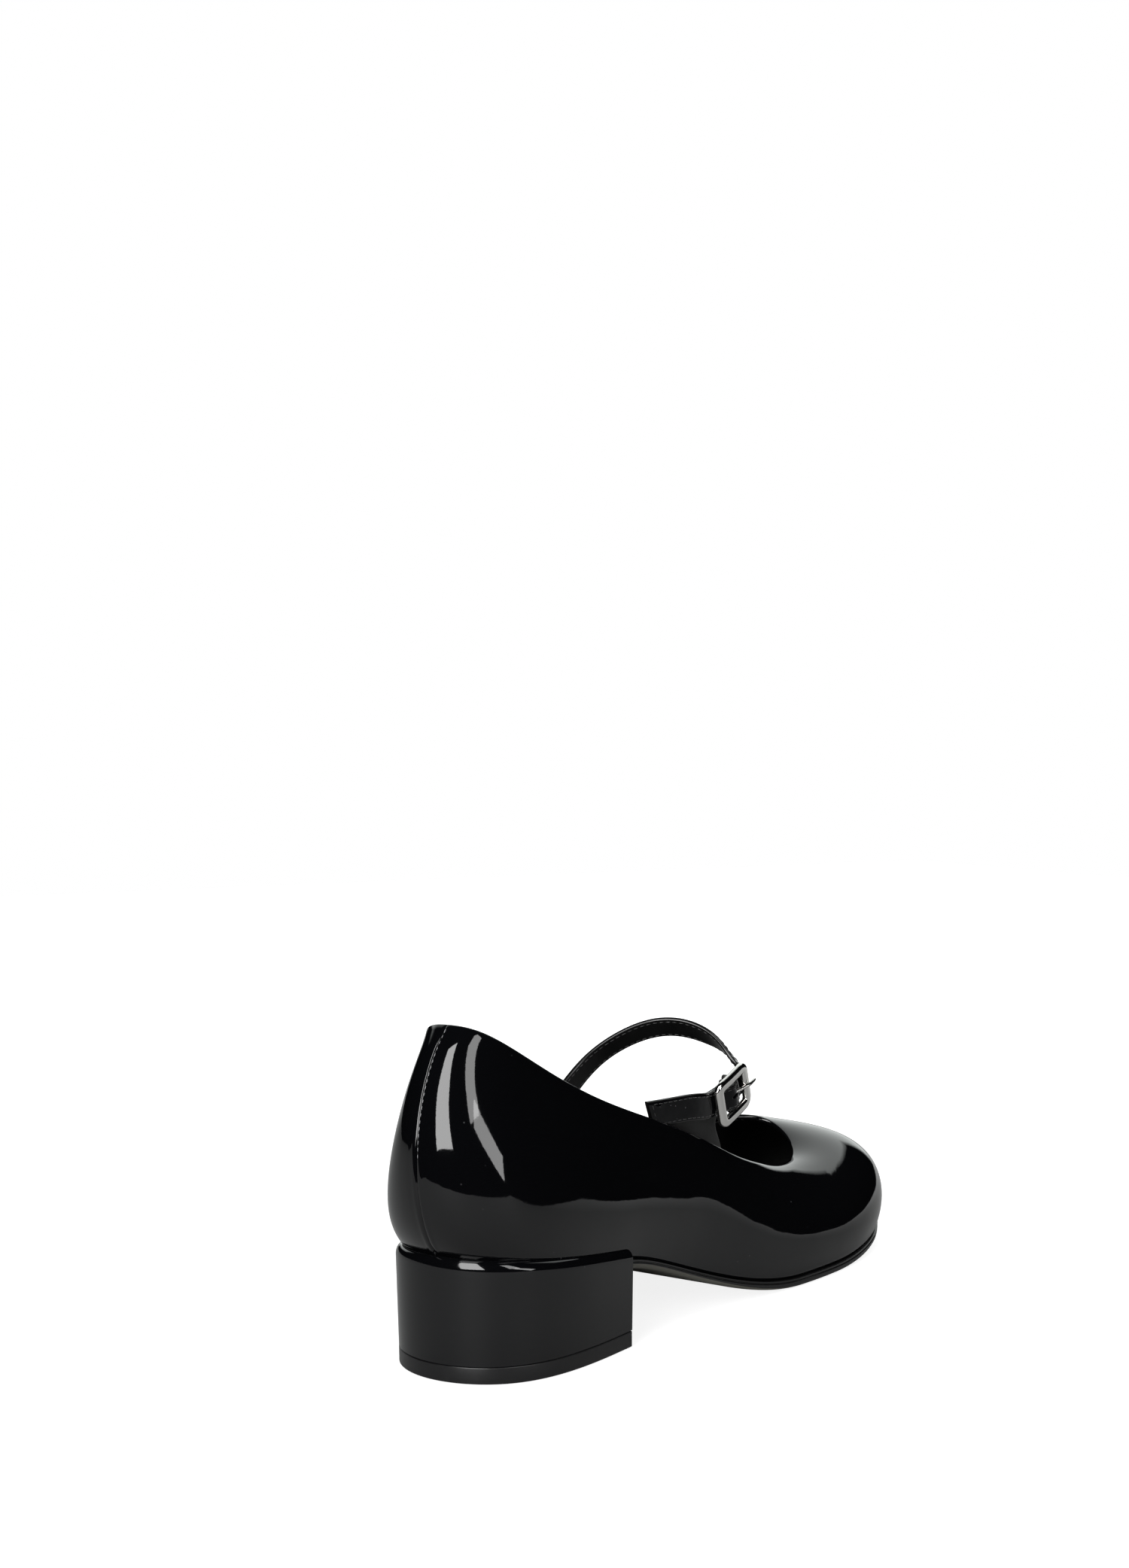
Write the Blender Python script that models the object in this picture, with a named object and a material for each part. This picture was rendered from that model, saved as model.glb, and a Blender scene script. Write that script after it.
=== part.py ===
"""Low block-heel pump with an instep strap and buckle, the right shoe of a pair, standing empty.

Metres, +X to the toe, +Y to the inner side of the foot, +Z up, Z = 0 the floor.
The origin is the middle of the heel's top-lift on the floor.
"""
import math

import bmesh
import bpy
import numpy as np
from mathutils import Matrix

# Driving sizes
LENGTH = 0.240             # back of the seat to the tip of the sole
BALL_WIDTH = 0.077         # sole across the ball
COLLAR_HEIGHT = 0.101      # top of the back seam above the floor
BREAST_HEIGHT = 0.0235     # underside of the sole at the heel's breast
SEAT_RISE = 0.0072         # how far the seat climbs from the breast to the back
HEEL_LENGTH = 0.0583       # back of the seat to the breast
TOE_SPRING = 0.0100        # tip of the sole above the floor
FLAT_FROM = 0.148          # the part of the sole that lies on the floor
FLAT_TO = 0.168
SOLE_THICKNESS = 0.0030
SOLE_REACH = 0.0005        # sole edge beyond the upper's foot
GROOVE_DEPTH = 0.0004      # line cut round the sole edge
INSOLE_THICKNESS = 0.0020
WALL = 0.0018              # upper and lining together
LIFT_THICKNESS = 0.0050
HEEL_TAPER = 0.0003        # how far the block draws in towards the floor
RIM_HEIGHT = 0.0032        # heel cup above the seat
RIM_THICKNESS = 0.0018
TOPLINE_ROUND = 0.35       # how far the rounded topline stands up, share of WALL
STRAP_WIDTH = 0.0086
STRAP_THICKNESS = 0.0014
STRAP_END_SLANT = 24.0     # how far the free end is cut off square, degrees
TAB_WIDTH = 0.0090         # where it loops round the bar
TAB_THICKNESS = 0.0010
BUCKLE_LENGTH = 0.0180     # along the strap
BUCKLE_WIDTH = 0.0167      # across the strap
BUCKLE_WIRE = 0.0035       # face of the frame
BUCKLE_DEPTH = 0.0022
BUCKLE_CORNER = 0.0040     # rounding of its outer corners
BUCKLE_ARCH = 0.0004       # how far the frame's ends bow back
BAR_RADIUS = 0.0007
BAR_DROP = 0.0030          # centre bar behind the frame's face plane
TAB_WRAP = 250.0           # how far the tab goes round the bar, degrees
PRONG_RADIUS = 0.0006
PRONG_CURL = 262.0         # how far the prong goes round the bar, degrees
PRONG_LEAVE = -24.0        # where it leaves the bar, degrees back from straight out
PRONG_REACH = 0.0015       # tip beyond the frame
HOLE_ALONG = 0.0013        # middle of the strap's hole, forward of the bar
HOLE_LENGTH = 0.0056
GAP = 0.0003               # between pieces that touch
BEVEL = 0.0006             # broken edges of sole, insole and heel

# One row for each section round the shoe: outer side is minus across.
# along, top_along: shares of LENGTH.  across, top_across, flare, shoulder: shares of BALL_WIDTH.
# top_height, rise, drop: shares of COLLAR_HEIGHT.  rise and flare lead the wall out of its foot,
# drop and shoulder bring it into the topline.
SECTION_COLUMNS = ("along", "across", "top_along", "top_across", "top_height",
                   "rise", "flare", "drop", "shoulder")
SECTIONS = {
    "back":           (0.022, 0.000, 0.036, 0.000, 1.000, 0.125, 0.215, 0.170, 0.240),
    "heel outer":     (0.050, -0.220, 0.058, -0.150, 0.968, 0.135, 0.150, 0.240, 0.120),
    "seat outer":     (0.130, -0.332, 0.140, -0.250, 0.840, 0.150, 0.060, 0.200, 0.070),
    "breast outer":   (0.250, -0.350, 0.255, -0.310, 0.712, 0.150, 0.030, 0.150, 0.060),
    "waist outer":    (0.400, -0.370, 0.390, -0.335, 0.590, 0.150, 0.045, 0.120, 0.060),
    "joint outer":    (0.560, -0.470, 0.530, -0.320, 0.450, 0.150, 0.050, 0.080, 0.110),
    "ball outer":     (0.700, -0.525, 0.660, -0.280, 0.355, 0.160, 0.055, 0.020, 0.160),
    "side outer":     (0.840, -0.480, 0.750, -0.210, 0.345, 0.170, 0.080, -0.010, 0.230),
    "corner outer":   (0.950, -0.290, 0.795, -0.120, 0.380, 0.195, 0.110, -0.020, 0.260),
    "toe":            (1.000, -0.020, 0.812, 0.000, 0.425, 0.205, 0.085, 0.015, 0.265),
    "corner inner":   (0.950, 0.310, 0.795, 0.120, 0.450, 0.190, 0.075, 0.030, 0.210),
    "side inner":     (0.850, 0.430, 0.740, 0.220, 0.455, 0.185, 0.050, 0.050, 0.140),
    "ball inner":     (0.720, 0.435, 0.650, 0.290, 0.457, 0.180, 0.040, 0.080, 0.085),
    "joint inner":    (0.580, 0.350, 0.530, 0.310, 0.490, 0.170, 0.060, 0.100, 0.060),
    "waist inner":    (0.420, 0.275, 0.400, 0.310, 0.590, 0.150, 0.060, 0.150, 0.060),
    "breast inner":   (0.250, 0.320, 0.255, 0.300, 0.712, 0.150, 0.045, 0.180, 0.050),
    "seat inner":     (0.130, 0.325, 0.140, 0.250, 0.840, 0.145, 0.090, 0.220, 0.050),
    "heel inner":     (0.050, 0.220, 0.058, 0.150, 0.965, 0.130, 0.190, 0.270, 0.080),
}

# Underside of the sole: way is the share of the run, height the share of the run's own height
ARCH = ((0.0, 1.0), (0.26, 0.73), (0.63, 0.23), (0.84, 0.045), (1.0, 0.0))
SPRING = ((0.0, 0.0), (0.30, 0.12), (0.70, 0.54), (1.0, 1.0))

# The strap's middle line, shares of LENGTH, BALL_WIDTH and COLLAR_HEIGHT, from the free end over
# the instep to the inner quarter; lean is how far the band's upper edge tips back, in degrees.
STRAP_FREE_END = (
    (0.332, -0.278, 0.658, 20),
    (0.370, -0.302, 0.657, 20),
    (0.410, -0.332, 0.656, 20),
)
STRAP_HOOP = (
    (0.5305, -0.3230, 0.7330, 44),
    (0.5325, -0.2750, 0.7720, 54),
    (0.522, -0.190, 0.828, 46),
    (0.500, -0.020, 0.858, 47),
    (0.470, 0.120, 0.820, 56),
    (0.440, 0.212, 0.756, 62),
    (0.400, 0.262, 0.666, 64),
    (0.362, 0.277, 0.592, 60),
)

# The tab's two edges below the buckle, in the same shares
TAB_FRONT = ((0.478, -0.3050, 0.570), (0.494, -0.298, 0.505), (0.503, -0.299, 0.425))
TAB_REAR = ((0.379, -0.266, 0.640), (0.366, -0.283, 0.601), (0.364, -0.303, 0.555))

BUCKLE_ALONG = 0.4888      # middle of the frame, shares of the same three sizes
BUCKLE_ACROSS = -0.3755
BUCKLE_HEIGHT = 0.6680
BUCKLE_PITCH = 24.2        # the prong's climb towards the toe, degrees
BUCKLE_YAW = 4.5           # the prong's turn to the outer side, degrees
BUCKLE_ROLL = 7.0          # the bar's lean outwards at its top, degrees
STRAP_CREEP = 0.0016       # how far up the frame the strap leaves it, under its rear side

# color, roughness, metallic, coat
FINISHES = {
    "upper_patent_leather": ((0.010, 0.010, 0.012), 0.08, 0.0, 1.0),
    "sole_board": ((0.060, 0.055, 0.042), 0.55, 0.0, 0.0),
    "insole_sock": ((0.020, 0.019, 0.018), 0.60, 0.0, 0.0),
    "heel_cover_patent": ((0.012, 0.012, 0.014), 0.15, 0.0, 0.8),
    "top_lift_rubber": ((0.018, 0.018, 0.018), 0.50, 0.0, 0.0),
    "strap_patent_leather": ((0.010, 0.010, 0.012), 0.10, 0.0, 1.0),
    "tab_patent_leather": ((0.010, 0.010, 0.012), 0.12, 0.0, 1.0),
    "frame_polished_silver": ((0.72, 0.71, 0.69), 0.12, 1.0, 0.0),
    "bar_steel": ((0.60, 0.60, 0.60), 0.25, 1.0, 0.0),
    "prong_polished_silver": ((0.72, 0.71, 0.69), 0.15, 1.0, 0.0),
}


def material(name):
    color, roughness, metallic, coat = FINISHES[name]
    mat = bpy.data.materials.new(name)
    mat.use_nodes = True
    shader = mat.node_tree.nodes["Principled BSDF"]
    shader.inputs["Base Color"].default_value = (*color, 1.0)
    shader.inputs["Roughness"].default_value = roughness
    shader.inputs["Metallic"].default_value = metallic
    shader.inputs["Coat Weight"].default_value = coat
    mat.diffuse_color = (*color, 1.0)
    return mat


def spline(xs, ys, slopes=(None, None)):
    """Cubic through the points; an end without a slope is left straight."""
    xs, ys = np.asarray(xs, float), np.asarray(ys, float)
    count, step = len(xs), np.diff(xs)
    matrix, right = np.eye(count), np.zeros((count,) + ys.shape[1:])
    rate = (ys[1:] - ys[:-1]) / (step if ys.ndim == 1 else step[:, None])
    for i in range(1, count - 1):
        matrix[i, i - 1:i + 2] = step[i - 1], 2 * (step[i - 1] + step[i]), step[i]
        right[i] = 6 * (rate[i] - rate[i - 1])
    if slopes[0] is not None:
        matrix[0, :2] = 2 * step[0], step[0]
        right[0] = 6 * (rate[0] - slopes[0])
    if slopes[1] is not None:
        matrix[-1, -2:] = step[-1], 2 * step[-1]
        right[-1] = 6 * (slopes[1] - rate[-1])
    bend = np.linalg.solve(matrix, right)

    def value(x):
        x = np.asarray(x, float)
        i = np.clip(np.searchsorted(xs, x, side="right") - 1, 0, count - 2)
        t, h = x - xs[i], step[i]
        if ys.ndim > 1:
            t, h = t[..., None], h[..., None]
        start = rate[i] - h * (2 * bend[i] + bend[i + 1]) / 6
        return ys[i] + t * start + t * t * bend[i] / 2 + t ** 3 * (bend[i + 1] - bend[i]) / (6 * h)

    return value


def ring_spline(ts, points):
    """Closed cubic: the first point follows the last at ts[-1]."""
    lap = 3
    count = len(points)
    span = ts[-1]
    long_ts = np.concatenate([ts[:-1] + span * k for k in range(-lap, lap + 1)])
    long_points = np.concatenate([points] * (2 * lap + 1))
    near = slice(count * (lap - 1), count * (lap + 2))
    curve = spline(long_ts[near], long_points[near])
    return lambda t: curve(np.mod(t, span))


def column(name):
    index = SECTION_COLUMNS.index(name)
    return np.array([row[index] for row in SECTIONS.values()])


def unit(vectors):
    return vectors / np.linalg.norm(vectors, axis=-1, keepdims=True)


# Height of the bearing surface: a straight seat, the arch, the flat spot and the toe spring
SEAT_SLOPE = -SEAT_RISE / HEEL_LENGTH
ARCH_RUN = spline([HEEL_LENGTH + way * (FLAT_FROM - HEEL_LENGTH) for way, _ in ARCH],
                  [height * BREAST_HEIGHT for _, height in ARCH], (SEAT_SLOPE, 0.0))
SPRING_RUN = spline([FLAT_TO + way * (LENGTH - FLAT_TO) for way, _ in SPRING],
                    [height * TOE_SPRING for _, height in SPRING], (0.0, None))


def sole_bottom(x):
    x = np.asarray(x, float)
    seat = BREAST_HEIGHT + SEAT_SLOPE * (x - HEEL_LENGTH)
    front = np.where(x < FLAT_TO, 0.0, SPRING_RUN(np.maximum(x, FLAT_TO)))
    arch = ARCH_RUN(np.clip(x, HEEL_LENGTH, FLAT_FROM))
    return np.where(x < HEEL_LENGTH, seat, np.where(x < FLAT_FROM, arch, front))


def sole_top(x):
    return sole_bottom(x) + SOLE_THICKNESS


# The curves that carry the upper's outer face: its foot, its topline and how it leaves them
FEATHER = np.stack([column("along") * LENGTH, column("across") * BALL_WIDTH], axis=1)
STEPS = np.sqrt(np.linalg.norm(np.roll(FEATHER, -1, axis=0) - FEATHER, axis=1))
AROUND = np.concatenate([[0.0], np.cumsum(STEPS)])
TURN = AROUND[-1]
foot_curve = ring_spline(AROUND, FEATHER)
TOPLINE = np.stack([column("top_along") * LENGTH, column("top_across") * BALL_WIDTH,
                    column("top_height") * COLLAR_HEIGHT], axis=1)
top_curve = ring_spline(AROUND, TOPLINE)
LEADS = np.stack([column("rise") * COLLAR_HEIGHT, column("flare") * BALL_WIDTH,
                  column("drop") * COLLAR_HEIGHT, column("shoulder") * BALL_WIDTH], axis=1)
lead_curve = ring_spline(AROUND, LEADS)


def foot_outward(t):
    """Level direction away from the foot, square to the feather line."""
    nudge = 1e-4 * TURN
    ahead = foot_curve(t + nudge) - foot_curve(t - nudge)
    return unit(np.stack([ahead[..., 1], -ahead[..., 0]], axis=-1))


def upper_face(t, v):
    """Point on the upper's outer face: t runs round the shoe, v from foot (0) to topline (1)."""
    t, v = np.broadcast_arrays(np.asarray(t, float), np.asarray(v, float))
    flat, out = foot_curve(t), foot_outward(t)
    foot = np.concatenate([flat, (sole_top(flat[..., 0]) + GAP)[..., None]], axis=-1)
    out = np.concatenate([out, np.zeros(t.shape + (1,))], axis=-1)
    top, lead = top_curve(t), lead_curve(t)
    up = np.array([0.0, 0.0, 1.0])
    low = foot + lead[..., 0:1] * up + lead[..., 1:2] * out
    high = top - lead[..., 2:3] * up + lead[..., 3:4] * out
    v = v[..., None]
    return (1 - v) ** 3 * foot + 3 * v * (1 - v) ** 2 * low + 3 * v * v * (1 - v) * high + v ** 3 * top


def upper_normal(t, v):
    """Outward normal of the outer face."""
    t, v = np.asarray(t, float), np.asarray(v, float)
    nudge, lift = 1e-4 * TURN, 1e-3
    along = upper_face(t + nudge, v) - upper_face(t - nudge, v)
    rise = upper_face(t, np.minimum(v + lift, 1.0)) - upper_face(t, np.maximum(v - lift, 0.0))
    return unit(np.cross(along, rise))


def half_widths(offset):
    """How far a feather line moved inwards reaches to each side at x, and where it ends."""
    t = np.linspace(0.0, TURN, 1440, endpoint=False)
    ring = foot_curve(t) - offset * foot_outward(t)
    back, tip = int(np.argmin(ring[:, 0])), int(np.argmax(ring[:, 0]))
    ring = np.roll(ring, -back, axis=0)
    tip = (tip - back) % len(ring)
    outer, inner = ring[:tip + 1], np.concatenate([ring[tip:], ring[:1]])[::-1]
    return (lambda x: np.interp(x, outer[:, 0], outer[:, 1]),
            lambda x: np.interp(x, inner[:, 0], inner[:, 1]), ring[0], ring[tip])


def new_object(name, mesh, mat, collection):
    mesh.materials.append(mat)
    obj = bpy.data.objects.new(name, mesh)
    collection.objects.link(obj)
    return obj


def finish_mesh(name, vertices, faces, mat, collection, smooth_angle):
    """A closed mesh from points measured from the back of the seat."""
    mesh = bpy.data.meshes.new(name)
    mesh.from_pydata([tuple(p) for p in np.asarray(vertices) - ORIGIN], [], faces)
    work = bmesh.new()
    work.from_mesh(mesh)
    bmesh.ops.remove_doubles(work, verts=work.verts, dist=1e-7)
    bmesh.ops.recalc_face_normals(work, faces=work.faces)
    work.to_mesh(mesh)
    work.free()
    mesh.shade_smooth()
    mesh.set_sharp_from_angle(angle=math.radians(smooth_angle))
    return new_object(name, mesh, mat, collection)


def closed_grid(rows, columns):
    """Faces of a grid of points that closes on itself both ways."""
    return [(i * columns + j, i * columns + (j + 1) % columns,
             ((i + 1) % rows) * columns + (j + 1) % columns, ((i + 1) % rows) * columns + j)
            for i in range(rows) for j in range(columns)]


def tube_faces(rows, columns):
    """Faces of a grid closed one way, with a cap on each end."""
    sides = [(i * columns + j, i * columns + (j + 1) % columns,
              (i + 1) * columns + (j + 1) % columns, (i + 1) * columns + j)
             for i in range(rows - 1) for j in range(columns)]
    last = (rows - 1) * columns
    return sides + [tuple(range(columns))[::-1], tuple(last + j for j in range(columns))]


def make_upper(mat, collection, sections=96, levels=11):
    """One hollow wall: outer face, rounded topline, inner face and the foot ring."""
    t = np.linspace(0.0, TURN, sections, endpoint=False)[:, None]
    v = np.linspace(0.0, 1.0, levels)[None, :]
    outer, normal = upper_face(t, v), upper_normal(t, v)
    normal[:, 0] = np.concatenate([foot_outward(t[:, 0]), np.zeros((sections, 1))], axis=1)
    inner = outer - WALL * normal
    inner[:, 0, 2] = sole_top(inner[:, 0, 0]) + GAP
    crown_lift = unit(outer[:, -1] - outer[:, -2]) * TOPLINE_ROUND * WALL
    crown = 0.5 * (outer[:, -1] + inner[:, -1]) + crown_lift
    ring = np.concatenate([outer, crown[:, None], inner[:, ::-1]], axis=1)
    faces = closed_grid(*ring.shape[:2])
    return finish_mesh("upper", ring.reshape(-1, 3), faces, mat, collection, 50.0)


def slab(name, offset, stations, bottom, top, edge, mat, collection, square_back):
    """A plate with the shoe's outline: edge is a list of (inset, share of thickness) from below."""
    outer_at, inner_at, back_point, tip_point = half_widths(offset)
    sides = []
    for side_at in (outer_at, inner_at):
        y = side_at(stations)
        if not square_back:
            y[0] = back_point[1]
        y[-1] = tip_point[1]
        sides.append(np.stack([stations, y], axis=1))
    returning = sides[1][-2::-1] if square_back else sides[1][-2:0:-1]
    path = np.concatenate([sides[0], returning])
    ahead = np.roll(path, -1, axis=0) - np.roll(path, 1, axis=0)
    out = unit(np.stack([ahead[:, 1], -ahead[:, 0]], axis=1))
    if square_back:
        out[0], out[-1] = (0.0, -1.0), (0.0, 1.0)
    vertices = []
    for point, normal in zip(path, out):
        for inset, share in edge:
            x, y = point - inset * normal
            vertices.append((x, y, bottom(x) + share * (top(x) - bottom(x))))
    rings, steps = len(path), len(edge)
    faces = []
    for i in range(rings - 1 if square_back else rings):
        here, after = i * steps, ((i + 1) % rings) * steps
        for k in range(steps - 1):
            faces.append((here + k, after + k, after + k + 1, here + k + 1))
    for i in range(len(stations) - 1):
        far = rings - 1 - i if square_back else (rings - i) % rings
        far_after = rings - 2 - i if square_back else rings - i - 1
        for level, turn in ((0, 1), (steps - 1, -1)):
            loop = [place * steps + level for place in (i, i + 1, far_after, far)]
            faces.append(tuple(list(dict.fromkeys(loop))[::turn]))
    if square_back:
        last = (rings - 1) * steps
        faces.append(tuple(list(range(steps)) + [last + k for k in range(steps)][::-1]))
    return finish_mesh(name, vertices, faces, mat, collection, 35.0)


def spaced(start, end, count, both_round):
    """Stations between two places, crowded together at the rounded end or ends."""
    s = np.linspace(0.0, 1.0, count)
    share = 0.5 - 0.5 * np.cos(np.pi * s) if both_round else np.sin(0.5 * np.pi * s) ** 1.15
    return start + (end - start) * share


def make_outsole(mat, collection):
    """Toe to breast, with a ball patch on the floor and a line cut round its edge."""
    reach = -SOLE_REACH
    tip = half_widths(reach)[3][0]
    start = HEEL_LENGTH + GAP
    stations = np.concatenate([
        np.linspace(start, FLAT_FROM, 12)[:-1], np.linspace(FLAT_FROM, FLAT_TO, 4)[:-1],
        spaced(FLAT_TO, tip, 20, False)])
    edge = ((2.0 * BEVEL, 0.0), (0.4 * BEVEL, 0.16), (0.0, 0.34), (0.0, 0.62), (GROOVE_DEPTH, 0.70),
            (GROOVE_DEPTH, 0.76), (0.0, 0.84), (0.0, 1.0))
    return slab("outsole", reach, stations, sole_bottom, sole_top, edge, mat, collection, True)


def make_insole(mat, collection):
    """Sock-covered board inside the upper's wall, over the seat and the sole."""
    inset = WALL + GAP
    _, _, back, tip = half_widths(inset)
    stations = spaced(back[0], tip[0], 40, True)
    edge = ((0.0, 0.0), (0.0, 0.6), (0.5 * BEVEL, 1.0))
    return slab("insole", inset, stations, lambda x: sole_top(x) + GAP,
                lambda x: sole_top(x) + GAP + INSOLE_THICKNESS, edge, mat, collection, False)


def heel_columns(count=44):
    """Places round the seat from the breast's outer corner, past the back, to its inner corner."""
    t = np.linspace(0.0, TURN, 2881)
    front = t[foot_curve(t)[:, 0] > HEEL_LENGTH]
    return np.linspace(front[0], front[-1] - TURN, count)


def rim_level(t):
    """How far up the upper's wall the rim of the heel cup comes, as its v."""
    v = np.linspace(0.0, 0.4, 81)
    heights = upper_face(np.asarray(t)[:, None], v[None, :])[..., 2]
    return np.array([np.interp(row[0] - GAP + RIM_HEIGHT, row, v) for row in heights])


def heel_outline(t):
    """Where the heel cup's outer face stands at its rim."""
    return upper_face(t, rim_level(t))[:, :2] + (GAP + RIM_THICKNESS) * foot_outward(t)


def heel_middle():
    """Middle of the top-lift between its back and the breast."""
    t = heel_columns()
    edge = heel_outline(t) - HEEL_TAPER * foot_outward(t)
    return np.array([0.5 * (edge[:, 0].min() + HEEL_LENGTH), 0.0, 0.0])


ORIGIN = heel_middle()


def heel_ring(profile):
    """Heel columns whose two ends stand on the flat breast."""
    ring = np.stack(profile, axis=1)
    ring[0, :, 0] = ring[-1, :, 0] = HEEL_LENGTH
    return ring


def open_ring_faces(rings, steps):
    """Walls between columns, the two level caps and the breast."""
    faces = [(i * steps + k, (i + 1) * steps + k, (i + 1) * steps + k + 1, i * steps + k + 1)
             for i in range(rings - 1) for k in range(steps - 1)]
    faces.append(tuple(i * steps for i in range(rings)))
    faces.append(tuple(i * steps + steps - 1 for i in range(rings))[::-1])
    last = (rings - 1) * steps
    faces.append(tuple(list(range(steps)) + [last + k for k in range(steps)][::-1]))
    return faces


def at_height(flat, height):
    return np.concatenate([flat, np.broadcast_to(height, flat.shape[:1])[:, None]], axis=1)


def make_heel_block(mat, collection):
    """Block with a cupped seat: its rim follows the upper's wall a gap away."""
    t = heel_columns()
    outline, out, level = heel_outline(t), foot_outward(t), rim_level(t)
    rim = upper_face(t, level) + GAP * upper_normal(t, level)
    half = upper_face(t, 0.5 * level) + GAP * upper_normal(t, 0.5 * level)
    seat = foot_curve(t) + GAP * out
    lip = 0.5 * (rim[:, :2] + outline)
    profile = [
        at_height(outline - HEEL_TAPER * out, LIFT_THICKNESS + GAP),
        at_height(outline, rim[:, 2] - 0.5 * RIM_THICKNESS),
        at_height(lip + 0.25 * RIM_THICKNESS * out, rim[:, 2] + 0.1 * RIM_THICKNESS),
        at_height(rim[:, :2] + 0.1 * RIM_THICKNESS * out, rim[:, 2] + 0.1 * RIM_THICKNESS),
        half,
        at_height(seat, sole_top(seat[:, 0])),
    ]
    ring = heel_ring(profile)
    ring[:, -1, 2] = sole_top(ring[:, -1, 0] - 1e-9)
    faces = open_ring_faces(*ring.shape[:2])
    return finish_mesh("heel_block", ring.reshape(-1, 3), faces, mat, collection, 35.0)


def make_top_lift(mat, collection):
    """Wear piece under the block, flush with it."""
    t = heel_columns()
    out = foot_outward(t)
    edge = heel_outline(t) - HEEL_TAPER * out
    profile = [
        at_height(edge - 0.6 * BEVEL * out, 0.0),
        at_height(edge, 0.6 * BEVEL),
        at_height(edge, LIFT_THICKNESS - 0.4 * BEVEL),
        at_height(edge - 0.4 * BEVEL * out, LIFT_THICKNESS),
    ]
    ring = heel_ring(profile)
    faces = open_ring_faces(*ring.shape[:2])
    return finish_mesh("heel_top_lift", ring.reshape(-1, 3), faces, mat, collection, 35.0)


def buckle_axes():
    """Directions along the prong, up the bar and away from the foot."""
    pitch, yaw, roll = np.radians([BUCKLE_PITCH, BUCKLE_YAW, BUCKLE_ROLL])
    level = math.cos(pitch)
    prong = np.array([level * math.cos(yaw), -level * math.sin(yaw), math.sin(pitch)])
    out = unit(np.cross(prong, np.array([0.0, 0.0, 1.0])))
    bar = np.cross(out, prong)
    return prong, bar * math.cos(roll) + out * math.sin(roll), out * math.cos(roll) - bar * math.sin(roll)


PRONG_WAY, BAR_WAY, OUT_WAY = buckle_axes()
SHARES_OF = np.array([LENGTH, BALL_WIDTH, COLLAR_HEIGHT])
BUCKLE_MIDDLE = np.array([BUCKLE_ALONG, BUCKLE_ACROSS, BUCKLE_HEIGHT]) * SHARES_OF


def at_buckle(along, across, out):
    """A place given in the buckle's own directions."""
    return BUCKLE_MIDDLE + along * PRONG_WAY + across * BAR_WAY + out * OUT_WAY


END_BAR = 0.5 * BUCKLE_LENGTH - 0.5 * BUCKLE_WIRE    # middle of the frame's two short sides
UNDER_END = -(BUCKLE_ARCH + 0.5 * BUCKLE_DEPTH + GAP + 0.5 * STRAP_THICKNESS)
OVER_BAR = -BAR_DROP + BAR_RADIUS + GAP + TAB_THICKNESS + GAP + 0.5 * STRAP_THICKNESS
LOOP_RADIUS = BAR_RADIUS + GAP + 0.5 * TAB_THICKNESS


def strap_path():
    """Points and upward directions of the band's middle line, free end first."""
    points, ups = [], []

    def add(place, up):
        points.append(place)
        ups.append(unit(up))

    def leaning(lean):
        angle = math.radians(lean)
        return np.array([-math.sin(angle), 0.0, math.cos(angle)])

    for *place, lean in STRAP_FREE_END:
        add(np.array(place) * SHARES_OF, leaning(lean))
    near, far = END_BAR - 0.4 * BUCKLE_WIRE, END_BAR + 0.4 * BUCKLE_WIRE
    creep = ((-far, STRAP_CREEP), (-near, 0.5 * STRAP_CREEP), (0.0, -GAP), (near, -GAP), (far, 0.0))
    for along, across in creep:
        add(at_buckle(along, across, UNDER_END if along else OVER_BAR), BAR_WAY)
    for *place, lean in STRAP_HOOP:
        add(np.array(place) * SHARES_OF, leaning(lean))
    points, ups = np.array(points), np.array(ups)
    run = np.concatenate([[0.0], np.cumsum(np.linalg.norm(np.diff(points, axis=0), axis=1))])
    return spline(run, points), spline(run, ups), run


def band(middle, side, up, width, thickness):
    """Eight points of a flat strip's section, its edges rounded."""
    half, edge = 0.5 * thickness, 0.5 * width
    rounding = 0.35 * half
    corner = ((edge - rounding, half), (edge, 0.5 * half), (edge, -0.5 * half), (edge - rounding, -half))
    shape = corner + tuple((-u, -s) for u, s in corner)
    return [middle + u * up + s * side for u, s in shape]


def lofted_band(name, places, ups, widths, thickness, mat, collection):
    """Strip through the places; ups run across its width and need not be square to it."""
    sides = unit(np.cross(unit(np.gradient(places, axis=0)), ups))
    vertices = []
    for place, side, up, width in zip(places, sides, ups, widths):
        vertices += band(place, side, up, width, thickness)
    return finish_mesh(name, vertices, tube_faces(len(places), 8), mat, collection, 40.0)


def make_strap(mat, collection, cutters, sections=84):
    """Band from its free end, through the buckle, over the instep to the inner quarter."""
    place, up, run = strap_path()
    s = np.linspace(0.0, run[-1], sections)
    places, ups = place(s), up(s)
    ahead = unit(np.gradient(places, axis=0))
    ups = unit(ups - ahead * np.sum(ups * ahead, axis=1, keepdims=True))
    fade = np.clip(1.0 - s / (2.0 * STRAP_WIDTH), 0.0, 1.0)
    ups = ups - math.tan(math.radians(STRAP_END_SLANT)) * fade[:, None] * ahead
    widths = np.full(sections, STRAP_WIDTH)
    strap = lofted_band("strap", places, ups, widths, STRAP_THICKNESS, mat, collection)
    middle = at_buckle(HOLE_ALONG, 0.0, 0.5 * (OVER_BAR + UNDER_END))
    size = (HOLE_LENGTH, 2.0 * (PRONG_RADIUS + GAP), 4.0 * BUCKLE_DEPTH)
    bpy.ops.mesh.primitive_cylinder_add(vertices=16, radius=0.5, depth=1.0)
    cut(strap, bpy.context.object, "prong_hole", middle, size, cutters)
    return strap


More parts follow.
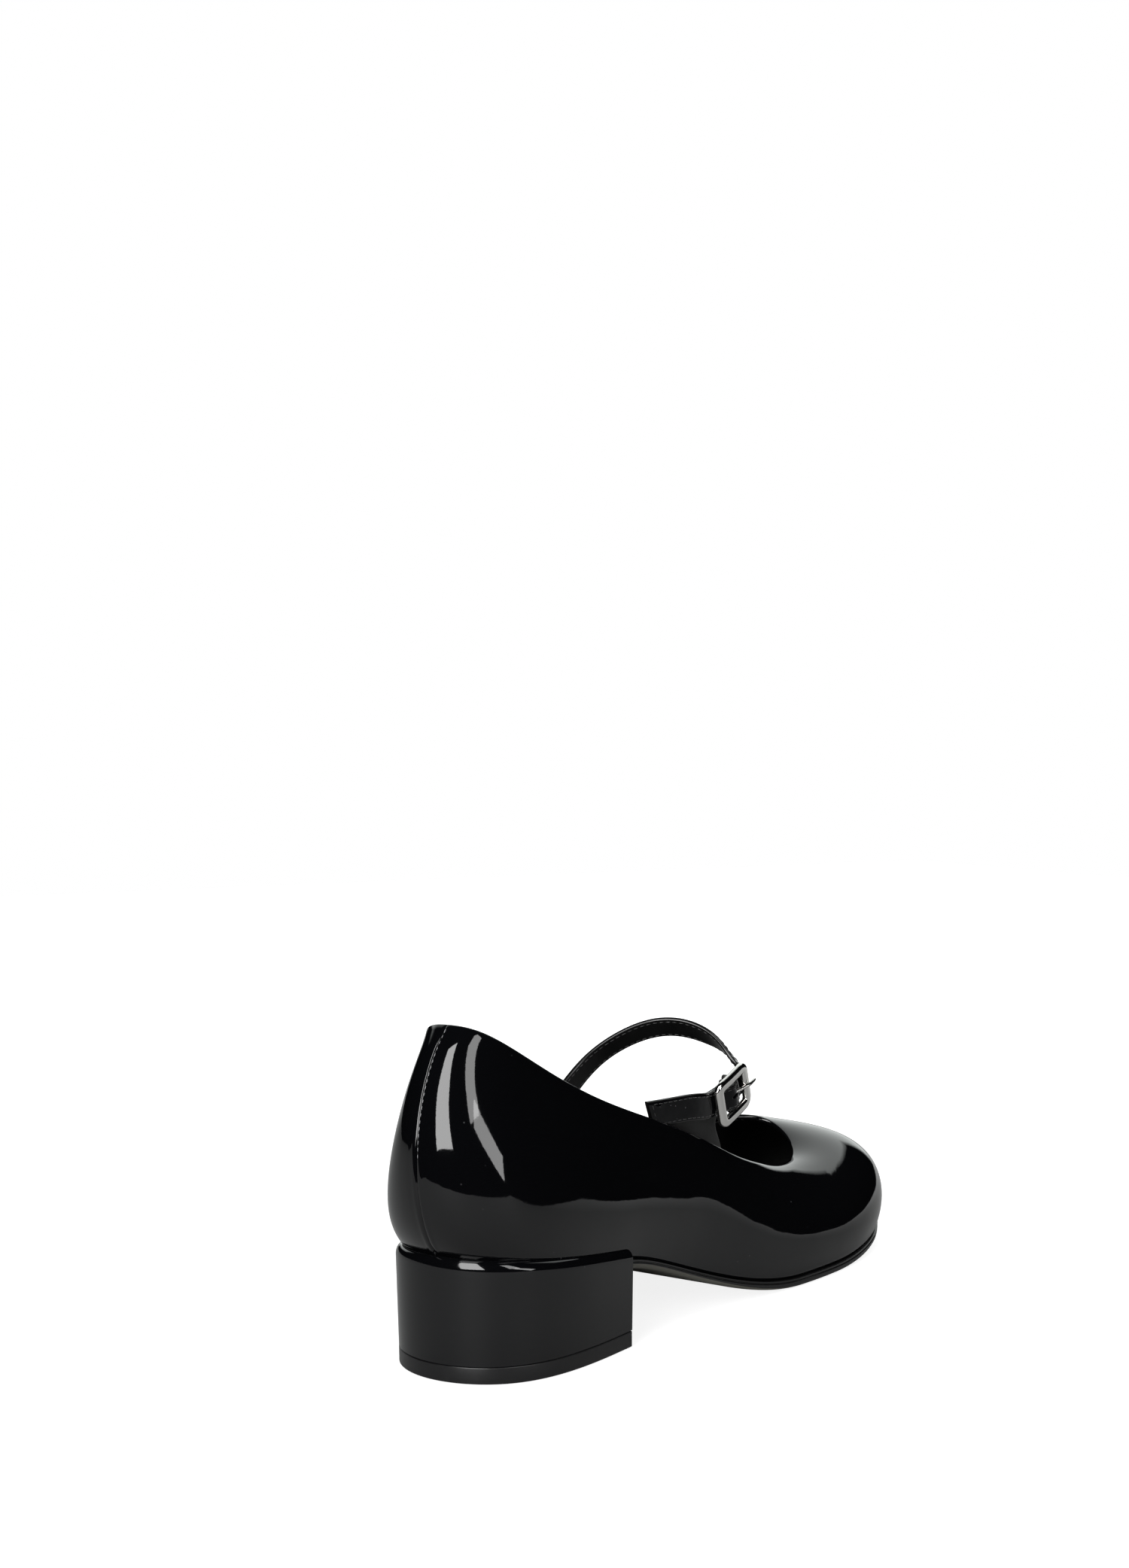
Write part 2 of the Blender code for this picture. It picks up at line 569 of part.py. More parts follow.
def cut(obj, cutter, name, middle, size, cutters):
    """Cuts away a unit shape, sized and set in the buckle's own directions."""
    cutter.name = name
    ways = np.array([PRONG_WAY, BAR_WAY, OUT_WAY]).T @ np.diag(size)
    place = middle - ORIGIN
    rows = [[float(c) for c in way] + [float(at)] for way, at in zip(ways, place)]
    cutter.data.transform(Matrix(rows + [[0.0, 0.0, 0.0, 1.0]]))
    for owner in list(cutter.users_collection):
        owner.objects.unlink(cutter)
    cutters.objects.link(cutter)
    cutter.hide_render = True
    cutter.display_type = "WIRE"
    modifier = obj.modifiers.new(name, "BOOLEAN")
    modifier.operation = "DIFFERENCE"
    modifier.object = cutter
    modifier.solver = "EXACT"


def bow(along):
    """How far the frame bends back towards its ends."""
    return BUCKLE_ARCH * (2 * along / BUCKLE_LENGTH) ** 2


def frame_line(turns, steps):
    """Middle line of the frame's wire: a rounded oblong, with points on its corners and sides."""
    radius = BUCKLE_CORNER - 0.5 * BUCKLE_WIRE
    reach = 0.5 * np.array([BUCKLE_LENGTH, BUCKLE_WIDTH]) - BUCKLE_CORNER
    points = []
    for quarter, way in enumerate(((1, 1), (-1, 1), (-1, -1), (1, -1))):
        angle = np.radians(90.0 * (quarter + np.linspace(0.0, 1.0, turns)))
        corner = reach * way + radius * np.stack([np.cos(angle), np.sin(angle)], axis=1)
        side = 2.0 * reach[quarter % 2] * np.linspace(0.0, 1.0, steps + 2)[1:-1, None]
        onward = np.array([-math.sin(angle[-1]), math.cos(angle[-1])])
        points += [corner, corner[-1] + side * onward]
    return np.concatenate(points)


def make_buckle_frame(mat, collection):
    """Rounded oblong ring, softly bowed."""
    path = frame_line(6, 4)
    ahead = np.roll(path, -1, axis=0) - np.roll(path, 1, axis=0)
    out = unit(np.stack([ahead[:, 1], -ahead[:, 0]], axis=1))
    half, deep = 0.5 * BUCKLE_WIRE, 0.5 * BUCKLE_DEPTH
    section = ((1.0, -0.3), (0.75, 0.55), (0.2, 1.0), (-0.45, 0.75),
               (-1.0, 0.1), (-1.0, -0.6), (-0.6, -1.0), (0.6, -1.0))
    vertices = []
    for point, normal in zip(path, out):
        for reach, lift in section:
            a, b = point + reach * half * normal
            vertices.append(at_buckle(a, b, lift * deep - bow(a)))
    faces = closed_grid(len(path), len(section))
    return finish_mesh("buckle_frame", vertices, faces, mat, collection, 50.0)


def wire(name, points, radius, mat, collection):
    """Round rod through the points, its ends capped."""
    curve = bpy.data.curves.new(name, "CURVE")
    curve.dimensions = "3D"
    curve.bevel_depth = radius
    curve.bevel_resolution = 3
    curve.use_fill_caps = True
    line = curve.splines.new("POLY")
    line.points.add(len(points) - 1)
    for slot, point in zip(line.points, points):
        slot.co = (*(point - ORIGIN), 1.0)
    curve.materials.append(mat)
    obj = bpy.data.objects.new(name, curve)
    collection.objects.link(obj)
    return obj


def make_buckle_bar(mat, collection):
    """Bar across the frame's middle, with feet that turn up to its two long sides."""
    reach = 0.5 * BUCKLE_WIDTH - 0.5 * BUCKLE_WIRE
    inward = ((reach, -0.5 * BUCKLE_DEPTH - GAP), (reach, -BAR_DROP + 0.4 * BAR_RADIUS),
              (reach - 0.8 * BAR_RADIUS, -BAR_DROP))
    points = [at_buckle(0.0, -across, out) for across, out in inward]
    points += [at_buckle(0.0, across, out) for across, out in inward[::-1]]
    return wire("buckle_bar", points, BAR_RADIUS, mat, collection)


def make_buckle_prong(mat, collection):
    """Wire curled round the bar, up through the strap and over the frame's forward side."""
    curl = BAR_RADIUS + GAP + PRONG_RADIUS
    leave = math.radians(PRONG_LEAVE)
    turn = np.linspace(leave - math.radians(PRONG_CURL), leave, 18)
    ring = [at_buckle(curl * math.sin(a), 0.0, -BAR_DROP + curl * math.cos(a)) for a in turn]
    rest = 0.5 * BUCKLE_DEPTH + GAP + PRONG_RADIUS - bow(END_BAR)
    tip = 0.5 * BUCKLE_LENGTH + PRONG_REACH
    straight = [at_buckle(END_BAR, 0.0, rest), at_buckle(tip, 0.0, rest - 0.5 * BUCKLE_ARCH)]
    return wire("buckle_prong", ring + straight, PRONG_RADIUS, mat, collection)


def make_buckle_tab(mat, collection, cutters):
    """Band that holds the bar and goes down behind the strap, sewn inside the outer quarter."""
    turn = np.radians(np.linspace(TAB_WRAP, 0.0, 14))
    half, inner = 0.5 * TAB_WIDTH, -BAR_DROP - LOOP_RADIUS

    def edge(across, behind_bar, below):
        loop = [at_buckle(LOOP_RADIUS * math.sin(a), across, -BAR_DROP - LOOP_RADIUS * math.cos(a))
                for a in turn]
        hanging = np.array([loop[-1], at_buckle(-behind_bar * END_BAR, across, inner)]
                           + [np.array(place) * SHARES_OF for place in below])
        steps = np.arange(len(hanging), dtype=float)
        return np.concatenate([loop[:-1], spline(steps, hanging)(np.linspace(0.0, steps[-1], 16))])

    front, rear = edge(-half, 0.45, TAB_FRONT), edge(half, 0.9, TAB_REAR)
    widths = np.linalg.norm(rear - front, axis=1)
    ups = (rear - front) / widths[:, None]
    places = 0.5 * (front + rear)
    tab = lofted_band("buckle_tab", places, ups, widths, TAB_THICKNESS, mat, collection)
    size = (3.7 * LOOP_RADIUS, 2.0 * (PRONG_RADIUS + GAP), 3.3 * LOOP_RADIUS)
    bpy.ops.mesh.primitive_cube_add(size=1.0)
    middle = at_buckle(0.15 * LOOP_RADIUS, 0.0, -BAR_DROP)
    cut(tab, bpy.context.object, "prong_slot", middle, size, cutters)
    return tab


def clear_scene():
    for obj in list(bpy.data.objects):
        bpy.data.objects.remove(obj, do_unlink=True)


def main():
    clear_scene()
    shoe = bpy.data.collections.new("low_heel_pump")
    cutters = bpy.data.collections.new("cutters")
    bpy.context.scene.collection.children.link(shoe)
    bpy.context.scene.collection.children.link(cutters)
    make_upper(material("upper_patent_leather"), shoe)
    make_outsole(material("sole_board"), shoe)
    make_insole(material("insole_sock"), shoe)
    make_heel_block(material("heel_cover_patent"), shoe)
    make_top_lift(material("top_lift_rubber"), shoe)
    make_strap(material("strap_patent_leather"), shoe, cutters)
    make_buckle_tab(material("tab_patent_leather"), shoe, cutters)
    make_buckle_frame(material("frame_polished_silver"), shoe)
    make_buckle_bar(material("bar_steel"), shoe)
    make_buckle_prong(material("prong_polished_silver"), shoe)


main()
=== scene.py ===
"""Low block-heel pump in black patent leather with an instep strap and buckle, the right shoe.

Metres, +X to the toe, +Y to the inner side of the foot, +Z up, Z = 0 the floor.
"""
import math

import bmesh
import bpy
import numpy as np
from mathutils import Matrix, Vector


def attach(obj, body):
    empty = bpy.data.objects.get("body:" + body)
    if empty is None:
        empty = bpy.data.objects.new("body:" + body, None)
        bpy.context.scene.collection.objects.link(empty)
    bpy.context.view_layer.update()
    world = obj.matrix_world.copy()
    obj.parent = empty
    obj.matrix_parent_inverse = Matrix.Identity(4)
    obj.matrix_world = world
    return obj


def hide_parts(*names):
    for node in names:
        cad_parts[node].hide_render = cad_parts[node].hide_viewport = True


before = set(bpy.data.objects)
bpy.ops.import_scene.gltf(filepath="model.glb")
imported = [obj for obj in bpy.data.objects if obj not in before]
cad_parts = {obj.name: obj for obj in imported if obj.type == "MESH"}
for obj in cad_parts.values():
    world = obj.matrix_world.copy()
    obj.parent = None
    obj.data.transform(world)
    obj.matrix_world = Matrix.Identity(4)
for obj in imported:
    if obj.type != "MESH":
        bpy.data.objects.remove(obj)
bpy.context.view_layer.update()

# Driving sizes
LENGTH = 0.240             # back of the seat to the tip of the sole
BALL_WIDTH = 0.077         # sole across the ball
COLLAR_HEIGHT = 0.101      # top of the back seam above the floor
BREAST_HEIGHT = 0.0235     # underside of the sole at the heel's breast
SEAT_RISE = 0.0072         # how far the seat climbs from the breast to the back
HEEL_LENGTH = 0.0583       # back of the seat to the breast
TOE_SPRING = 0.0100        # tip of the sole above the floor
FLAT_FROM = 0.148          # the part of the sole that lies on the floor
FLAT_TO = 0.168
SOLE_THICKNESS = 0.0030
SOLE_REACH = 0.0005        # sole edge beyond the upper's foot
GROOVE_DEPTH = 0.0004      # line cut round the sole edge
INSOLE_THICKNESS = 0.0020
WALL = 0.0018              # upper and lining together
LIFT_THICKNESS = 0.0050
HEEL_TAPER = 0.0003        # how far the block draws in towards the floor
RIM_HEIGHT = 0.0032        # heel cup above the seat
RIM_THICKNESS = 0.0018
TOPLINE_ROUND = 0.35       # how far the rounded topline stands up, share of WALL
STRAP_WIDTH = 0.0086
STRAP_THICKNESS = 0.0014
STRAP_END_SLANT = 24.0     # how far the free end is cut off square, degrees
TAB_WIDTH = 0.0090         # where it loops round the bar
TAB_THICKNESS = 0.0010
BUCKLE_LENGTH = 0.0180     # along the strap
BUCKLE_WIDTH = 0.0167      # across the strap
BUCKLE_WIRE = 0.0035       # face of the frame
BUCKLE_DEPTH = 0.0022
BUCKLE_CORNER = 0.0040     # rounding of its outer corners
BUCKLE_ARCH = 0.0004       # how far the frame's ends bow back
BAR_RADIUS = 0.0007
BAR_DROP = 0.0030          # centre bar behind the frame's face plane
TAB_WRAP = 250.0           # how far the tab goes round the bar, degrees
PRONG_RADIUS = 0.0006
PRONG_CURL = 262.0         # how far the prong goes round the bar, degrees
PRONG_LEAVE = -24.0        # where it leaves the bar, degrees back from straight out
PRONG_REACH = 0.0015       # tip beyond the frame
HOLE_ALONG = 0.0013        # middle of the strap's hole, forward of the bar
HOLE_LENGTH = 0.0056
GAP = 0.0003               # between pieces that touch
BEVEL = 0.0006             # broken edges of sole, insole and heel

# One row for each section round the shoe: outer side is minus across.
# along, top_along: shares of LENGTH.  across, top_across, flare, shoulder: shares of BALL_WIDTH.
# top_height, rise, drop: shares of COLLAR_HEIGHT.  rise and flare lead the wall out of its foot,
# drop and shoulder bring it into the topline.
SECTION_COLUMNS = ("along", "across", "top_along", "top_across", "top_height",
                   "rise", "flare", "drop", "shoulder")
SECTIONS = {
    "back":           (0.022, 0.000, 0.036, 0.000, 1.000, 0.125, 0.215, 0.170, 0.240),
    "heel outer":     (0.050, -0.220, 0.058, -0.150, 0.968, 0.135, 0.150, 0.240, 0.120),
    "seat outer":     (0.130, -0.332, 0.140, -0.250, 0.840, 0.150, 0.060, 0.200, 0.070),
    "breast outer":   (0.250, -0.350, 0.255, -0.310, 0.712, 0.150, 0.030, 0.150, 0.060),
    "waist outer":    (0.400, -0.370, 0.390, -0.335, 0.590, 0.150, 0.045, 0.120, 0.060),
    "joint outer":    (0.560, -0.470, 0.530, -0.320, 0.450, 0.150, 0.050, 0.080, 0.110),
    "ball outer":     (0.700, -0.525, 0.660, -0.280, 0.355, 0.160, 0.055, 0.020, 0.160),
    "side outer":     (0.840, -0.480, 0.750, -0.210, 0.345, 0.170, 0.080, -0.010, 0.230),
    "corner outer":   (0.950, -0.290, 0.795, -0.120, 0.380, 0.195, 0.110, -0.020, 0.260),
    "toe":            (1.000, -0.020, 0.812, 0.000, 0.425, 0.205, 0.085, 0.015, 0.265),
    "corner inner":   (0.950, 0.310, 0.795, 0.120, 0.450, 0.190, 0.075, 0.030, 0.210),
    "side inner":     (0.850, 0.430, 0.740, 0.220, 0.455, 0.185, 0.050, 0.050, 0.140),
    "ball inner":     (0.720, 0.435, 0.650, 0.290, 0.457, 0.180, 0.040, 0.080, 0.085),
    "joint inner":    (0.580, 0.350, 0.530, 0.310, 0.490, 0.170, 0.060, 0.100, 0.060),
    "waist inner":    (0.420, 0.275, 0.400, 0.310, 0.590, 0.150, 0.060, 0.150, 0.060),
    "breast inner":   (0.250, 0.320, 0.255, 0.300, 0.712, 0.150, 0.045, 0.180, 0.050),
    "seat inner":     (0.130, 0.325, 0.140, 0.250, 0.840, 0.145, 0.090, 0.220, 0.050),
    "heel inner":     (0.050, 0.220, 0.058, 0.150, 0.965, 0.130, 0.190, 0.270, 0.080),
}

# Underside of the sole: way is the share of the run, height the share of the run's own height
ARCH = ((0.0, 1.0), (0.26, 0.73), (0.63, 0.23), (0.84, 0.045), (1.0, 0.0))
SPRING = ((0.0, 0.0), (0.30, 0.12), (0.70, 0.54), (1.0, 1.0))

# The strap's middle line, shares of LENGTH, BALL_WIDTH and COLLAR_HEIGHT, from the free end over
# the instep to the inner quarter; lean is how far the band's upper edge tips back, in degrees.
STRAP_FREE_END = (
    (0.332, -0.278, 0.658, 20),
    (0.370, -0.302, 0.657, 20),
    (0.410, -0.332, 0.656, 20),
)
STRAP_HOOP = (
    (0.5305, -0.3230, 0.7330, 44),
    (0.5325, -0.2750, 0.7720, 54),
    (0.522, -0.190, 0.828, 46),
    (0.500, -0.020, 0.858, 47),
    (0.470, 0.120, 0.820, 56),
    (0.440, 0.212, 0.756, 62),
    (0.400, 0.262, 0.666, 64),
    (0.362, 0.277, 0.592, 60),
)

# The tab's two edges below the buckle, in the same shares
TAB_FRONT = ((0.478, -0.3050, 0.570), (0.494, -0.298, 0.505), (0.503, -0.299, 0.425))
TAB_REAR = ((0.379, -0.266, 0.640), (0.366, -0.283, 0.601), (0.364, -0.303, 0.555))

BUCKLE_ALONG = 0.4888      # middle of the frame, shares of the same three sizes
BUCKLE_ACROSS = -0.3755
BUCKLE_HEIGHT = 0.6680
BUCKLE_PITCH = 24.2        # the prong's climb towards the toe, degrees
BUCKLE_YAW = 4.5           # the prong's turn to the outer side, degrees
BUCKLE_ROLL = 7.0          # the bar's lean outwards at its top, degrees
STRAP_CREEP = 0.0016       # how far up the frame the strap leaves it, under its rear side


def spline(xs, ys, slopes=(None, None)):
    """Cubic through the points; an end without a slope is left straight."""
    xs, ys = np.asarray(xs, float), np.asarray(ys, float)
    count, step = len(xs), np.diff(xs)
    matrix, right = np.eye(count), np.zeros((count,) + ys.shape[1:])
    rate = (ys[1:] - ys[:-1]) / (step if ys.ndim == 1 else step[:, None])
    for i in range(1, count - 1):
        matrix[i, i - 1:i + 2] = step[i - 1], 2 * (step[i - 1] + step[i]), step[i]
        right[i] = 6 * (rate[i] - rate[i - 1])
    if slopes[0] is not None:
        matrix[0, :2] = 2 * step[0], step[0]
        right[0] = 6 * (rate[0] - slopes[0])
    if slopes[1] is not None:
        matrix[-1, -2:] = step[-1], 2 * step[-1]
        right[-1] = 6 * (slopes[1] - rate[-1])
    bend = np.linalg.solve(matrix, right)

    def value(x):
        x = np.asarray(x, float)
        i = np.clip(np.searchsorted(xs, x, side="right") - 1, 0, count - 2)
        t, h = x - xs[i], step[i]
        if ys.ndim > 1:
            t, h = t[..., None], h[..., None]
        start = rate[i] - h * (2 * bend[i] + bend[i + 1]) / 6
        return ys[i] + t * start + t * t * bend[i] / 2 + t ** 3 * (bend[i + 1] - bend[i]) / (6 * h)

    return value


def ring_spline(ts, points):
    """Closed cubic: the first point follows the last at ts[-1]."""
    lap = 3
    count = len(points)
    span = ts[-1]
    long_ts = np.concatenate([ts[:-1] + span * k for k in range(-lap, lap + 1)])
    long_points = np.concatenate([points] * (2 * lap + 1))
    near = slice(count * (lap - 1), count * (lap + 2))
    curve = spline(long_ts[near], long_points[near])
    return lambda t: curve(np.mod(t, span))


def column(name):
    index = SECTION_COLUMNS.index(name)
    return np.array([row[index] for row in SECTIONS.values()])


def unit(vectors):
    return vectors / np.linalg.norm(vectors, axis=-1, keepdims=True)


# Height of the bearing surface: a straight seat, the arch, the flat spot and the toe spring
SEAT_SLOPE = -SEAT_RISE / HEEL_LENGTH
ARCH_RUN = spline([HEEL_LENGTH + way * (FLAT_FROM - HEEL_LENGTH) for way, _ in ARCH],
                  [height * BREAST_HEIGHT for _, height in ARCH], (SEAT_SLOPE, 0.0))
SPRING_RUN = spline([FLAT_TO + way * (LENGTH - FLAT_TO) for way, _ in SPRING],
                    [height * TOE_SPRING for _, height in SPRING], (0.0, None))


def sole_bottom(x):
    x = np.asarray(x, float)
    seat = BREAST_HEIGHT + SEAT_SLOPE * (x - HEEL_LENGTH)
    front = np.where(x < FLAT_TO, 0.0, SPRING_RUN(np.maximum(x, FLAT_TO)))
    arch = ARCH_RUN(np.clip(x, HEEL_LENGTH, FLAT_FROM))
    return np.where(x < HEEL_LENGTH, seat, np.where(x < FLAT_FROM, arch, front))


def sole_top(x):
    return sole_bottom(x) + SOLE_THICKNESS


# The curves that carry the upper's outer face: its foot, its topline and how it leaves them
FEATHER = np.stack([column("along") * LENGTH, column("across") * BALL_WIDTH], axis=1)
STEPS = np.sqrt(np.linalg.norm(np.roll(FEATHER, -1, axis=0) - FEATHER, axis=1))
AROUND = np.concatenate([[0.0], np.cumsum(STEPS)])
TURN = AROUND[-1]
foot_curve = ring_spline(AROUND, FEATHER)
TOPLINE = np.stack([column("top_along") * LENGTH, column("top_across") * BALL_WIDTH,
                    column("top_height") * COLLAR_HEIGHT], axis=1)
top_curve = ring_spline(AROUND, TOPLINE)
LEADS = np.stack([column("rise") * COLLAR_HEIGHT, column("flare") * BALL_WIDTH,
                  column("drop") * COLLAR_HEIGHT, column("shoulder") * BALL_WIDTH], axis=1)
lead_curve = ring_spline(AROUND, LEADS)


def foot_outward(t):
    """Level direction away from the foot, square to the feather line."""
    nudge = 1e-4 * TURN
    ahead = foot_curve(t + nudge) - foot_curve(t - nudge)
    return unit(np.stack([ahead[..., 1], -ahead[..., 0]], axis=-1))


def upper_face(t, v):
    """Point on the upper's outer face: t runs round the shoe, v from foot (0) to topline (1)."""
    t, v = np.broadcast_arrays(np.asarray(t, float), np.asarray(v, float))
    flat, out = foot_curve(t), foot_outward(t)
    foot = np.concatenate([flat, (sole_top(flat[..., 0]) + GAP)[..., None]], axis=-1)
    out = np.concatenate([out, np.zeros(t.shape + (1,))], axis=-1)
    top, lead = top_curve(t), lead_curve(t)
    up = np.array([0.0, 0.0, 1.0])
    low = foot + lead[..., 0:1] * up + lead[..., 1:2] * out
    high = top - lead[..., 2:3] * up + lead[..., 3:4] * out
    v = v[..., None]
    return (1 - v) ** 3 * foot + 3 * v * (1 - v) ** 2 * low + 3 * v * v * (1 - v) * high + v ** 3 * top


def upper_normal(t, v):
    """Outward normal of the outer face."""
    t, v = np.asarray(t, float), np.asarray(v, float)
    nudge, lift = 1e-4 * TURN, 1e-3
    along = upper_face(t + nudge, v) - upper_face(t - nudge, v)
    rise = upper_face(t, np.minimum(v + lift, 1.0)) - upper_face(t, np.maximum(v - lift, 0.0))
    return unit(np.cross(along, rise))


def half_widths(offset):
    """How far a feather line moved inwards reaches to each side at x, and where it ends."""
    t = np.linspace(0.0, TURN, 1440, endpoint=False)
    ring = foot_curve(t) - offset * foot_outward(t)
    back, tip = int(np.argmin(ring[:, 0])), int(np.argmax(ring[:, 0]))
    ring = np.roll(ring, -back, axis=0)
    tip = (tip - back) % len(ring)
    outer, inner = ring[:tip + 1], np.concatenate([ring[tip:], ring[:1]])[::-1]
    return (lambda x: np.interp(x, outer[:, 0], outer[:, 1]),
            lambda x: np.interp(x, inner[:, 0], inner[:, 1]), ring[0], ring[tip])


def heel_columns(count=44):
    """Places round the seat from the breast's outer corner, past the back, to its inner corner."""
    t = np.linspace(0.0, TURN, 2881)
    front = t[foot_curve(t)[:, 0] > HEEL_LENGTH]
    return np.linspace(front[0], front[-1] - TURN, count)


def rim_level(t):
    """How far up the upper's wall the rim of the heel cup comes, as its v."""
    v = np.linspace(0.0, 0.4, 81)
    heights = upper_face(np.asarray(t)[:, None], v[None, :])[..., 2]
    return np.array([np.interp(row[0] - GAP + RIM_HEIGHT, row, v) for row in heights])


def heel_outline(t):
    """Where the heel cup's outer face stands at its rim."""
    return upper_face(t, rim_level(t))[:, :2] + (GAP + RIM_THICKNESS) * foot_outward(t)


def heel_middle():
    """Middle of the top-lift between its back and the breast."""
    t = heel_columns()
    edge = heel_outline(t) - HEEL_TAPER * foot_outward(t)
    return np.array([0.5 * (edge[:, 0].min() + HEEL_LENGTH), 0.0, 0.0])


ORIGIN = heel_middle()


def buckle_axes():
    """Directions along the prong, up the bar and away from the foot."""
    pitch, yaw, roll = np.radians([BUCKLE_PITCH, BUCKLE_YAW, BUCKLE_ROLL])
    level = math.cos(pitch)
    prong = np.array([level * math.cos(yaw), -level * math.sin(yaw), math.sin(pitch)])
    out = unit(np.cross(prong, np.array([0.0, 0.0, 1.0])))
    bar = np.cross(out, prong)
    return prong, bar * math.cos(roll) + out * math.sin(roll), out * math.cos(roll) - bar * math.sin(roll)


PRONG_WAY, BAR_WAY, OUT_WAY = buckle_axes()
SHARES_OF = np.array([LENGTH, BALL_WIDTH, COLLAR_HEIGHT])
BUCKLE_MIDDLE = np.array([BUCKLE_ALONG, BUCKLE_ACROSS, BUCKLE_HEIGHT]) * SHARES_OF


def at_buckle(along, across, out):
    """A place given in the buckle's own directions."""
    return BUCKLE_MIDDLE + along * PRONG_WAY + across * BAR_WAY + out * OUT_WAY


END_BAR = 0.5 * BUCKLE_LENGTH - 0.5 * BUCKLE_WIRE    # middle of the frame's two short sides
UNDER_END = -(BUCKLE_ARCH + 0.5 * BUCKLE_DEPTH + GAP + 0.5 * STRAP_THICKNESS)
OVER_BAR = -BAR_DROP + BAR_RADIUS + GAP + TAB_THICKNESS + GAP + 0.5 * STRAP_THICKNESS
LOOP_RADIUS = BAR_RADIUS + GAP + 0.5 * TAB_THICKNESS


def strap_path():
    """Points and upward directions of the band's middle line, free end first."""
    points, ups = [], []

    def add(place, up):
        points.append(place)
        ups.append(unit(up))

    def leaning(lean):
        angle = math.radians(lean)
        return np.array([-math.sin(angle), 0.0, math.cos(angle)])

    for *place, lean in STRAP_FREE_END:
        add(np.array(place) * SHARES_OF, leaning(lean))
    near, far = END_BAR - 0.4 * BUCKLE_WIRE, END_BAR + 0.4 * BUCKLE_WIRE
    creep = ((-far, STRAP_CREEP), (-near, 0.5 * STRAP_CREEP), (0.0, -GAP), (near, -GAP), (far, 0.0))
    for along, across in creep:
        add(at_buckle(along, across, UNDER_END if along else OVER_BAR), BAR_WAY)
    for *place, lean in STRAP_HOOP:
        add(np.array(place) * SHARES_OF, leaning(lean))
    points, ups = np.array(points), np.array(ups)
    run = np.concatenate([[0.0], np.cumsum(np.linalg.norm(np.diff(points, axis=0), axis=1))])
    return spline(run, points), spline(run, ups), run


def bow(along):
    """How far the frame bends back towards its ends."""
    return BUCKLE_ARCH * (2 * along / BUCKLE_LENGTH) ** 2


def frame_line(turns, steps):
    """Middle line of the frame's wire: a rounded oblong, with points on its corners and sides."""
    radius = BUCKLE_CORNER - 0.5 * BUCKLE_WIRE
    reach = 0.5 * np.array([BUCKLE_LENGTH, BUCKLE_WIDTH]) - BUCKLE_CORNER
    points = []
    for quarter, way in enumerate(((1, 1), (-1, 1), (-1, -1), (1, -1))):
        angle = np.radians(90.0 * (quarter + np.linspace(0.0, 1.0, turns)))
        corner = reach * way + radius * np.stack([np.cos(angle), np.sin(angle)], axis=1)
        side = 2.0 * reach[quarter % 2] * np.linspace(0.0, 1.0, steps + 2)[1:-1, None]
        onward = np.array([-math.sin(angle[-1]), math.cos(angle[-1])])
        points += [corner, corner[-1] + side * onward]
    return np.concatenate(points)


# ---- shared shader effects
def shader_group(name, inputs, outputs):
    """A node group with named sockets; inputs are (name, type, value)."""
    tree = bpy.data.node_groups.new(name, "ShaderNodeTree")
    for label, kind, value in inputs:
        socket = tree.interface.new_socket(name=label, in_out="INPUT", socket_type=kind)
        if value is not None:
            socket.default_value = value
    for label, kind in outputs:
        tree.interface.new_socket(name=label, in_out="OUTPUT", socket_type=kind)
    return tree, tree.nodes.new("NodeGroupInput"), tree.nodes.new("NodeGroupOutput")


def add(tree, kind, links=None, **values):
    """A node with its sockets set by name, or linked where the value is a socket."""
    node = tree.nodes.new(kind)
    for key, value in values.items():
        if hasattr(node, key):
            setattr(node, key, value)
    for key, value in (links or {}).items():
        socket = node.inputs[key]
        if isinstance(value, bpy.types.NodeSocket):
            tree.links.new(value, socket)
        else:
            socket.default_value = value
    return node


def noise(tree, place, scale, detail=2.0, roughness=0.5):
    """Cloudy unevenness, its value in the output Fac."""
    return add(tree, "ShaderNodeTexNoise", {
        "Vector": place, "Scale": scale, "Detail": detail, "Roughness": roughness})


def product(tree, one, other):
    """Two values multiplied."""
    return add(tree, "ShaderNodeMath", {0: one, 1: other}, operation="MULTIPLY").outputs["Value"]


def on_object(tree):
    """Coordinates fixed to the piece, in metres."""
    return add(tree, "ShaderNodeTexCoord").outputs["Object"]


def remap(tree, value, low, high, to_low=0.0, to_high=1.0):
    """The value, turned from one range into another and held inside it."""
    node = add(tree, "ShaderNodeMapRange", {
        "Value": value, "From Min": low, "From Max": high, "To Min": to_low, "To Max": to_high})
    return node.outputs["Result"]


def make_gloss_waves():
    """Slow unevenness of lacquered leather, with a fine orange-peel over it."""
    tree, given, out = shader_group("gloss_waves", [
        ("Scale", "NodeSocketFloat", 60.0), ("Height", "NodeSocketFloat", 0.0001),
        ("Peel", "NodeSocketFloat", 0.1)], [("Normal", "NodeSocketVector")])
    place = on_object(tree)
    slow = noise(tree, place, given.outputs["Scale"], 1.5, 0.4)
    wave = add(tree, "ShaderNodeBump", {
        "Strength": 1.0, "Distance": given.outputs["Height"], "Height": slow.outputs["Fac"]})
    fine = noise(tree, place, 900.0, 2.0, 0.5)
    peel = add(tree, "ShaderNodeBump", {
        "Strength": given.outputs["Peel"], "Distance": 0.00002, "Height": fine.outputs["Fac"],
        "Normal": wave.outputs["Normal"]})
    tree.links.new(peel.outputs["Normal"], out.inputs["Normal"])
    return tree


